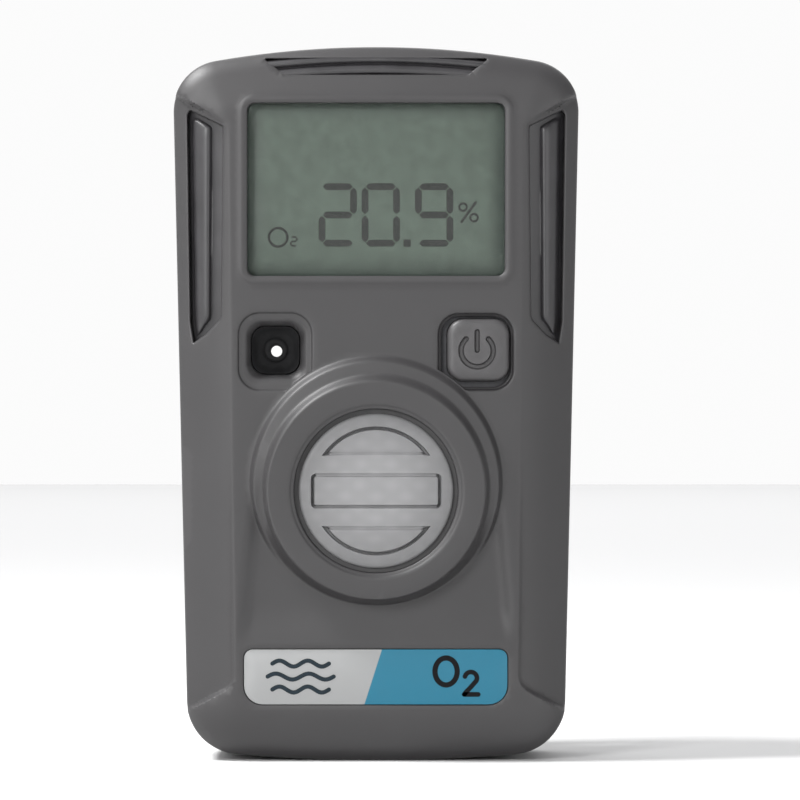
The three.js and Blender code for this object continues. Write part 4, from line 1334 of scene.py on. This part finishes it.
def filter_finish():
    """Filled plastic with the cloth's 3.3 mm diamonds faintly pressed through it, a 1 mm mottle, and painted
    shade that darkens it towards its rim.
    """
    m = blank("polypropylene_over_woven_cloth")
    place = add(m, "ShaderNodeTexCoord").outputs["Object"]
    waves = []
    for turn in (0.95, -0.95):
        spun = add(m, "ShaderNodeMapping", {"Rotation": (0, turn, 0)}, {"Vector": place})
        waves.append(add(
            m, "ShaderNodeTexWave", {"Scale": 0.314 / (2.2 * MM), "Distortion": 1.2, "Detail": 1.0},
            {"Vector": spun.outputs[0]},
        ).outputs["Fac"])
    both = add(m, "ShaderNodeMath", links={0: waves[0], 1: waves[1]}, operation="MULTIPLY").outputs[0]
    mottle = add(m, "ShaderNodeTexNoise", {"Scale": 1 / (1.0 * MM), "Detail": 4.0}, {"Vector": place})
    fine = add(m, "ShaderNodeMath", {1: 0.3}, {0: mottle.outputs["Fac"]}, operation="MULTIPLY").outputs[0]
    blend = add(m, "ShaderNodeMath", {1: 0.6}, {0: both, 2: fine}, operation="MULTIPLY_ADD").outputs[0]
    colour = add(
        m, "ShaderNodeValToRGB", links={"Fac": blend},
        stops=[(0.1, linear("#808081")), (0.75, linear("#868687"))],
    ).outputs[0]
    # Painted shade: from 3.5 mm to 9 mm out from the middle the colour darkens to seven tenths, standing in
    # for the ring's shadow on the disc.
    middle = (0.0, 0.0, -SENSOR_Z * MM)
    moved = add(m, "ShaderNodeVectorMath", {1: middle}, {0: place}, operation="ADD").outputs[0]
    sized = add(m, "ShaderNodeVectorMath", {1: (1.0, 0.0, 1.0)}, {0: moved}, operation="MULTIPLY").outputs[0]
    far = add(m, "ShaderNodeVectorMath", links={0: sized}, operation="LENGTH").outputs["Value"]
    rim = add(m, "ShaderNodeMapRange", {"From Min": 3.5 * MM, "From Max": 9.0 * MM}, {"Value": far})
    shade = add(
        m, "ShaderNodeValToRGB", links={"Fac": rim.outputs[0]},
        stops=[(0.0, (1, 1, 1, 1)), (1.0, (0.7, 0.7, 0.7, 1))],
    ).outputs[0]
    mottle_and_painted_shade = add(m, "ShaderNodeVectorMath", links={0: colour, 1: shade}, operation="MULTIPLY")
    bump = add(m, "ShaderNodeBump", {"Strength": 0.3, "Distance": 0.02 * MM}, {"Height": blend})
    return shaded(m, mottle_and_painted_shade.outputs[0], 0.55, bump.outputs[0], ior=1.49)


piece("filter_disc", filter_parts, "case", filter_finish(), ["filter_frame"], crisp=40)

# %% [markdown]
# ## Labels
# The front label is a thin film: grey with a plain three-wave air mark, and blue with the gas sign.
# The marks are ink, so they are flat shapes 0.02 mm thick that lie on the film.


# %% Label film and its ink
def label_outline(inset):
    (x0, _, z0), (x1, _, z1) = label_low, label_high
    return rounded([(x0, z0), (x1, z0), (x1, z1), (x0, z1)], [2.4, 2.4, 1.1, 1.1], inset, 8, 12)


film_y = label_low[1] + 0.02
piece(
    "label_film", plate(label_outline, film_y, film_y + 0.3, 0.06), "case", film,
    ["front_label"],
)


INK_FRONT, INK_BACK = film_y - 0.025, film_y - 0.002


def stroke(path, half):
    """A stroke of ink: the flat ribbon along a path."""
    return flat_prism(ribbon(path, half, 5), INK_FRONT, INK_BACK)


def oval(half_width, half_height):
    """The letter's ellipse: the two half axes times cosine and sine, round its middle."""
    angle = np.linspace(0, 2 * np.pi, 72, endpoint=False)
    return np.stack([8.9 + half_width * np.cos(angle), 11.5 + half_height * np.sin(angle)], 1)


two = np.concatenate([
    arc_path(12.05, 10.65, 0.78, 165, -25, 16),
    np.array([(12.35, 9.85), (11.85, 9.3), (11.4, 8.85), (11.25, 8.6)]),
])
two_foot = [(11.2, 8.58), (12.1, 8.58), (13.0, 8.58)]
letter = washer(oval(1.08, 1.38), oval(1.75, 2.05), INK_FRONT, INK_BACK)
gas_parts = [letter, *stroke(two, 0.3), *stroke(two_foot, 0.3)]
piece("label_gas_sign", gas_parts, "case", glyph_ink, close=1e-7)

t = np.linspace(0, 1, 30)
wave_parts = []
for k, length in enumerate((7.2, 8.4, 7.2)):
    path = np.stack([-9.6 - length / 2 + length * t, 12.5 - 1.65 * k + 0.38 * np.sin(t * 4 * np.pi)], 1)
    wave_parts += stroke(path, 0.27)
piece("label_air_mark", wave_parts, "case", mark_ink, close=1e-7)

# %% [markdown]
# ## Screws and the clip
# Each screw head is a lathe shape with a six-sided socket: a circle loop turns into a hexagon loop.
# The clip's lever is a pressed strip: an outline in width and arc length, bent along a side profile and
# closed by a second face behind it. The spring is a wire swept along a coil with two legs.


# %% Screw heads
def hexagon(r, x, z, count):
    """A six-sided loop with the same number of points as a circle's: radius r cos 30 over the
    cosine of the angle from the nearest flat's middle."""
    angle = np.linspace(0, 2 * np.pi, count, endpoint=False)
    near = (angle % (np.pi / 3)) - np.pi / 6
    size = r * np.cos(np.pi / 6) / np.cos(near)
    return np.stack([x + size * np.cos(angle), z + size * np.sin(angle)], 1)


def screw(x, z, head_y, tip_y, head_r=1.9, shank_r=0.95, thick=1.4, socket=0.85, count=48):
    """From the socket's floor, up its walls, over the domed head, and down the shank to its tip."""
    rows = [
        at_height(hexagon(r, x, z, count), head_y - drop)
        for r, drop in ((socket, 0.75), (socket, 0.08), (socket + 0.08, 0.0))
    ]
    for r, drop in ((0.62, 0.0), (0.8, 0.06), (0.93, 0.2), (1.0, 0.45), (1.0, thick)):
        rows.append(at_height(circle(head_r * r, x, z, count), head_y - drop))
    for r, y in ((shank_r, head_y - thick), (shank_r, tip_y + 0.6), (shank_r * 0.5, tip_y)):
        rows.append(at_height(circle(r, x, z, count), y))
    return [band(rows), cap(rows[0]), cap(rows[-1])]


for node, (x, z, head_y) in screws.items():
    piece(node + "_turned", screw(x, z, head_y, span(node)[0][1]), "case", steel, [node], crisp=30)

low, high = span("clip_screw")
x, tip_y, z = (low[0] + high[0]) / 2, low[1], (low[2] + high[2]) / 2
clip_screw = screw(x, z, high[1], tip_y, head_r=2.1, shank_r=0.9, thick=1.05)
piece("clip_screw_turned", clip_screw, "case", steel, ["clip_screw"], crisp=30)

# %% [markdown]
# ## The clip's lever
# The lever's side profile is read as a smooth curve: a flared thumb pad, a straight arm, and a tip
# that hooks in to the case. The strip's outline narrows towards the tip and has a long slot, and its two
# lugs hang from the arm to hold the pin.

# %% Lever strip
pin_low, pin_high = span("clip_pin")
PIN_Y, PIN_Z = (pin_low[1] + pin_high[1]) / 2, (pin_low[2] + pin_high[2]) / 2
STRIP = 1.3


def smooth_path(knots, count):
    """A curve through knots, by cubic interpolation with tangents from the neighbouring knots, then
    spaced evenly along its length. Returns points and length."""
    k = np.array(knots, float)
    s = np.concatenate([[0], np.cumsum(np.linalg.norm(np.diff(k, axis=0), axis=1))])
    slope = np.gradient(k, s, axis=0)
    q = np.linspace(0, s[-1], 800)
    i = np.clip(np.searchsorted(s, q, side="right") - 1, 0, len(s) - 2)
    h = (s[i + 1] - s[i])[:, None]
    u = ((q - s[i]) / h[:, 0])[:, None]
    p = (
        (2 * u**3 - 3 * u**2 + 1) * k[i] + (u**3 - 2 * u**2 + u) * h * slope[i]
        + (-2 * u**3 + 3 * u**2) * k[i + 1] + (u**3 - u**2) * h * slope[i + 1]
    )
    length = np.concatenate([[0], np.cumsum(np.linalg.norm(np.diff(p, axis=0), axis=1))])
    even = np.linspace(0, length[-1], count)
    return np.stack([np.interp(even, length, p[:, j]) for j in range(2)], 1), length[-1]


lever_curve, lever_length = smooth_path(
    [(15.6, 84.4), (16.25, 81.0), (16.35, 78.0), (16.35, 70), (16.35, 60), (16.35, 50), (16.35, 40),
     (16.35, 32.2), (15.7, 29.6), (14.0, 27.4), (11.9, 26.2), (10.05, 25.7)], 240,
)


lever_even = np.linspace(0, lever_length, len(lever_curve))
lever_along = np.gradient(lever_curve, axis=0)
lever_along /= np.linalg.norm(lever_along, axis=1, keepdims=True)
lever_out = np.stack([-lever_along[:, 1], lever_along[:, 0]], 1)


def on_lever(loop, out):
    """Carries points (x, distance along the strip) to the bent strip, then out along its normal:
    the curve's tangent turned by a right angle in the Y-Z plane."""
    x, s = loop[:, 0], loop[:, 1]
    y = np.interp(s, lever_even, lever_curve[:, 0]) + out * np.interp(s, lever_even, lever_out[:, 0])
    z = np.interp(s, lever_even, lever_curve[:, 1]) + out * np.interp(s, lever_even, lever_out[:, 1])
    return np.stack([x, y, z], 1)


def lever_blank(inset):
    n = lever_length
    corners = [
        (-5.6, 0.0), (5.6, 0.0), (7.4, 4.0), (7.4, n - 8), (6.6, n), (-6.6, n), (-7.4, n - 8), (-7.4, 4.0),
    ]
    return rounded(corners, [1.5, 1.5, 3, 3, 1.0, 1.0, 3, 3], inset, 6, 30)


def lever_slot(inset):
    return block(0, 40.5, 7.0, 16.0, 3.45, -inset, 12, 12)


EDGE = 0.25
edge_rows = [(EDGE, STRIP / 2), (EDGE * 0.3, STRIP / 2 - EDGE * 0.3), (0, STRIP / 2 - EDGE)]
edge_rows += [(inset, -out) for inset, out in reversed(edge_rows)]
lever_parts = []
for outline_of in (lever_blank, lever_slot):
    lever_parts.append(band([on_lever(outline_of(inset), out) for inset, out in edge_rows]))
for out in (STRIP / 2, -STRIP / 2):
    verts, tris = fill(lever_blank(EDGE), [lever_slot(EDGE)], lambda x, s: np.zeros_like(x), 0.9)
    lever_parts.append((on_lever(verts[:, [0, 2]], out), tris))
piece("lever_strip", lever_parts, "clip_lever", spring_steel, ["clip_jaw"], crisp=40)


# %% Lever lugs, teeth, base and pin
def side_plate(outline_yz, hole, x0, x1, bevel=0.18):
    """A plate in the Y-Z plane with an optional round hole, from x0 to x1, with bevelled edges."""
    rows = []
    for inset, x in ((bevel, x0), (0, x0 + bevel), (0, x1 - bevel), (bevel, x1)):
        rows.append(np.insert(outline_yz(inset), 0, x, axis=1))
    faces = []
    for x, row in ((x0, rows[0]), (x1, rows[-1])):
        holes = [] if hole is None else [hole]
        v, f = fill(row[:, 1:], holes, lambda a, b, x=x: np.full_like(a, x), 3.0)
        faces.append((v[:, [1, 0, 2]], f))
    parts = [band(rows), *faces]
    if hole is not None:
        parts.append(band([np.insert(hole, 0, x0, axis=1), np.insert(hole, 0, x1, axis=1)]))
    return parts


pin_hole = circle(1.33, PIN_Y, PIN_Z, 40)


def lug_outline(inset):
    corners = [(16.0, 60.0), (16.0, 76.0), (10.3, 69.2), (10.3, 66.8)]
    return rounded(corners, [0.5, 0.5, 2.4, 2.4], inset, 8, 8)


lug_parts = [part for side in (-1, 1) for part in side_plate(
    lug_outline, pin_hole, *sorted((side * 6.15, side * 7.35)))]
piece("lever_lugs", lug_parts, "clip_lever", spring_steel, crisp=40)


def tooth_row():
    """Seven pressed teeth on the tip: each is a small wedge whose ridge touches the case."""
    faces = np.array([(0, 3, 2, 1), (4, 5, 6, 7), (0, 1, 5, 4), (1, 2, 6, 5), (2, 3, 7, 6), (3, 0, 4, 7)])
    root_y, ridge_y, low_z, high_z = 10.9, 9.36, 25.15, 26.5
    wedge = np.array([
        (-0.6, root_y, low_z), (0.6, root_y, low_z), (0.6, root_y, high_z), (-0.6, root_y, high_z),
        (-0.18, ridge_y, low_z + 0.25), (0.18, ridge_y, low_z + 0.25),
        (0.18, ridge_y, high_z - 0.55), (-0.18, ridge_y, high_z - 0.55),
    ])
    return [(wedge + [x, 0, 0], faces) for x in np.linspace(-5.4, 5.4, 7)]


piece("lever_teeth", tooth_row(), "clip_lever", spring_steel, crisp=20)


def base_outline(inset):
    return block(0, 58.5, 19.2, 35.0, 2.5, inset, 8, 8)


def ear_outline(inset):
    corners = [(9.25, 61.0), (15.5, 66.6), (15.5, 69.4), (9.25, 75.0)]
    return rounded(corners, [0.3, 2.6, 2.6, 0.3], inset, 8, 8)


BASE_ROWS = [(0, -0.15), (0, 0.8), (0.12, 0.97), (0.3, 1.04)]
rows = [at_height(base_outline(inset), back_y + rise) for inset, rise in BASE_ROWS]
base_parts = [band(rows), flat_end(rows[0]), flat_end(rows[-1])]
for side in (-1, 1):
    base_parts += side_plate(ear_outline, pin_hole, *sorted((side * 8.2, side * 9.4)))
piece("clip_base_plate", base_parts, "case", spring_steel, ["clip_base"], crisp=40)


def turned_pin():
    """A lathe shape along X: heads outside the ears, each domed, and a plain shaft between."""
    half = pin_high[0]
    table = [(1.0, half), (1.6, half - 0.12), (1.88, half - 0.35), (1.9, half - 0.68), (1.25, half - 0.7)]
    table += [(r, -x) for r, x in reversed(table)]
    rows = [np.insert(circle(r, PIN_Y, PIN_Z, 40), 0, x, axis=1) for r, x in table]
    return [band(rows), cap(rows[0]), cap(rows[-1])]


piece("clip_pin_turned", turned_pin(), "case", steel, ["clip_pin"], crisp=35)


# %% Spring
def sweep(path, r, sides=14):
    """A wire: at each point of the path, a circle in the plane across it. The circle's first
    direction is the tangent crossed with the X axis, so it can't twist on a coil wound round X."""
    along = np.gradient(path, axis=0)
    along /= np.linalg.norm(along, axis=1, keepdims=True)
    normal = np.cross(along, [1.0, 0.0, 0.0])
    normal /= np.linalg.norm(normal, axis=1, keepdims=True)
    across = np.cross(along, normal)
    angle = np.linspace(0, 2 * np.pi, sides, endpoint=False)[:, None, None]
    loops = (path + r * (np.cos(angle) * normal + np.sin(angle) * across)).transpose(1, 0, 2)
    return [band(loops), cap(loops[0]), cap(loops[-1])]


COIL_R, COIL_WIDTH, TURNS, LEG, WIRE_R = 2.1, 7.2, 4.5, 7.4, 0.36
s = np.linspace(0, 1, 260)
turn = np.pi + s * TURNS * 2 * np.pi
coil = np.stack([COIL_WIDTH * (s - 0.5), PIN_Y + COIL_R * np.cos(turn), PIN_Z - COIL_R * np.sin(turn)], 1)
leg = np.linspace(1, 0.04, 26)[:, None] * [0, 0, LEG]
wire = sweep(np.concatenate([coil[0] - leg, coil, coil[-1] + leg[::-1]]), WIRE_R)
spring = piece("clip_spring_wire", wire, None, steel, ["clip_spring"], crisp=60)
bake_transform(spring)

# %% [markdown]
# ## Finishes for the nodes that keep their CAD shape
# The boards, the cell, the sensor and the other inner pieces are hidden in the closed case, and their
# CAD shapes are already true. They only need their real finishes.

# %% Finishes for kept nodes
by_slot = {
    "black_rubber": rubber, "silicone": silicone, "foam": foam, "steel": steel, "nickel": nickel,
    "gold": gold, "chip": chip_resin, "lamp": lamp_resin, "board": board_mask, "foil": foil,
    "cell_sleeve": sleeve_film,
    "membrane": membrane, "sensor_plastic": sensor_plastic, "rear_label_film": grey_film,
    "black_steel": spring_steel, "case_plastic": case_plastic, "rear_plastic": rear_plastic,
    "smoked_plastic": smoked, "clear_plastic": cover_material, "display_glass": cell_material,
    "filter_plastic": filter_plastic, "label_film": film,
}
slot_of = {s["node"]: s["material_slot"] for s in frame["record"]["subparts"]}
for name, obj in nodes.items():
    obj.data.materials.clear()
    obj.data.materials.append(by_slot[slot_of[name]])
print("finished", len(nodes), "kept nodes")

# %% [markdown]
# ## Floor, light and camera
# The object stands on a plain pale sweep in soft light. The key light stands in front and to the
# left and models the boss and the ledges. A small one high on the left draws the edges, a weak one on
# the right fills, and one behind lights the floor. The surroundings are white low down and grey
# overhead. The camera has a long lens and looks straight at the face.

# %% Stage
bpy.ops.mesh.primitive_plane_add(size=4.0, location=(0, 0, 0))
floor = bpy.context.object
floor.name = "floor"
floor_paint = blank("matt_white_sweep")
shaded(floor_paint, linear("#d4d4d4"), 0.9)
floor.data.materials.append(floor_paint)

world = bpy.context.scene.world or bpy.data.worlds.new("studio")
bpy.context.scene.world = world
world.use_nodes = True
direction = add(world, "ShaderNodeTexCoord").outputs["Generated"]
up = add(world, "ShaderNodeSeparateXYZ", links={0: direction}).outputs["Z"]
fade = add(
    world, "ShaderNodeValToRGB", links={"Fac": up}, stops=[(0.14, (1, 1, 1, 1)), (0.55, (0.3, 0.3, 0.31, 1))]
)
sky = world.node_tree.nodes["Background"]
world.node_tree.links.new(fade.outputs[0], sky.inputs["Color"])
sky.inputs["Strength"].default_value = 0.97


def soft_box(name, place, aim, size, power):
    """An area light that faces a point."""
    data = bpy.data.lights.new(name, "AREA")
    data.shape, data.size, data.size_y, data.energy = "RECTANGLE", size[0], size[1], power
    lamp = bpy.data.objects.new(name, data)
    lamp.location = place
    lamp.rotation_euler = (Vector(aim) - Vector(place)).to_track_quat("-Z", "Y").to_euler()
    bpy.context.scene.collection.objects.link(lamp)


middle = (0, 0, 0.046)
soft_box("key_light", (-0.36, -0.68, 0.34), middle, (0.22, 0.3), 3.9)
soft_box("edge_light", (-0.38, -0.08, 0.58), middle, (0.14, 0.14), 6.8)
soft_box("fill_light", (0.5, -0.7, 0.15), middle, (0.4, 0.4), 1.3)
soft_box("floor_light", (0, 1.5, 1.2), (0, 1.4, 0), (2.4, 2.2), 30.0)

FRAME_WIDTH, DISTANCE, SENSOR = 102.83 * MM, 0.62, 36.0
cam_data = bpy.data.cameras.new("camera")
cam = bpy.data.objects.new("camera", cam_data)
bpy.context.scene.collection.objects.link(cam)
cam_data.sensor_width = SENSOR
cam_data.lens = SENSOR * DISTANCE / FRAME_WIDTH
cam_data.shift_x = 3.07 * MM / FRAME_WIDTH
cam.location = (0, -DISTANCE - 0.008, 46.03 * MM)
cam.rotation_euler = (np.pi / 2, 0, 0)
cam_data.clip_start = 0.01
bpy.context.scene.camera = cam
bpy.context.scene.view_settings.view_transform = "Standard"
print("lens", round(cam_data.lens, 1), "mm")
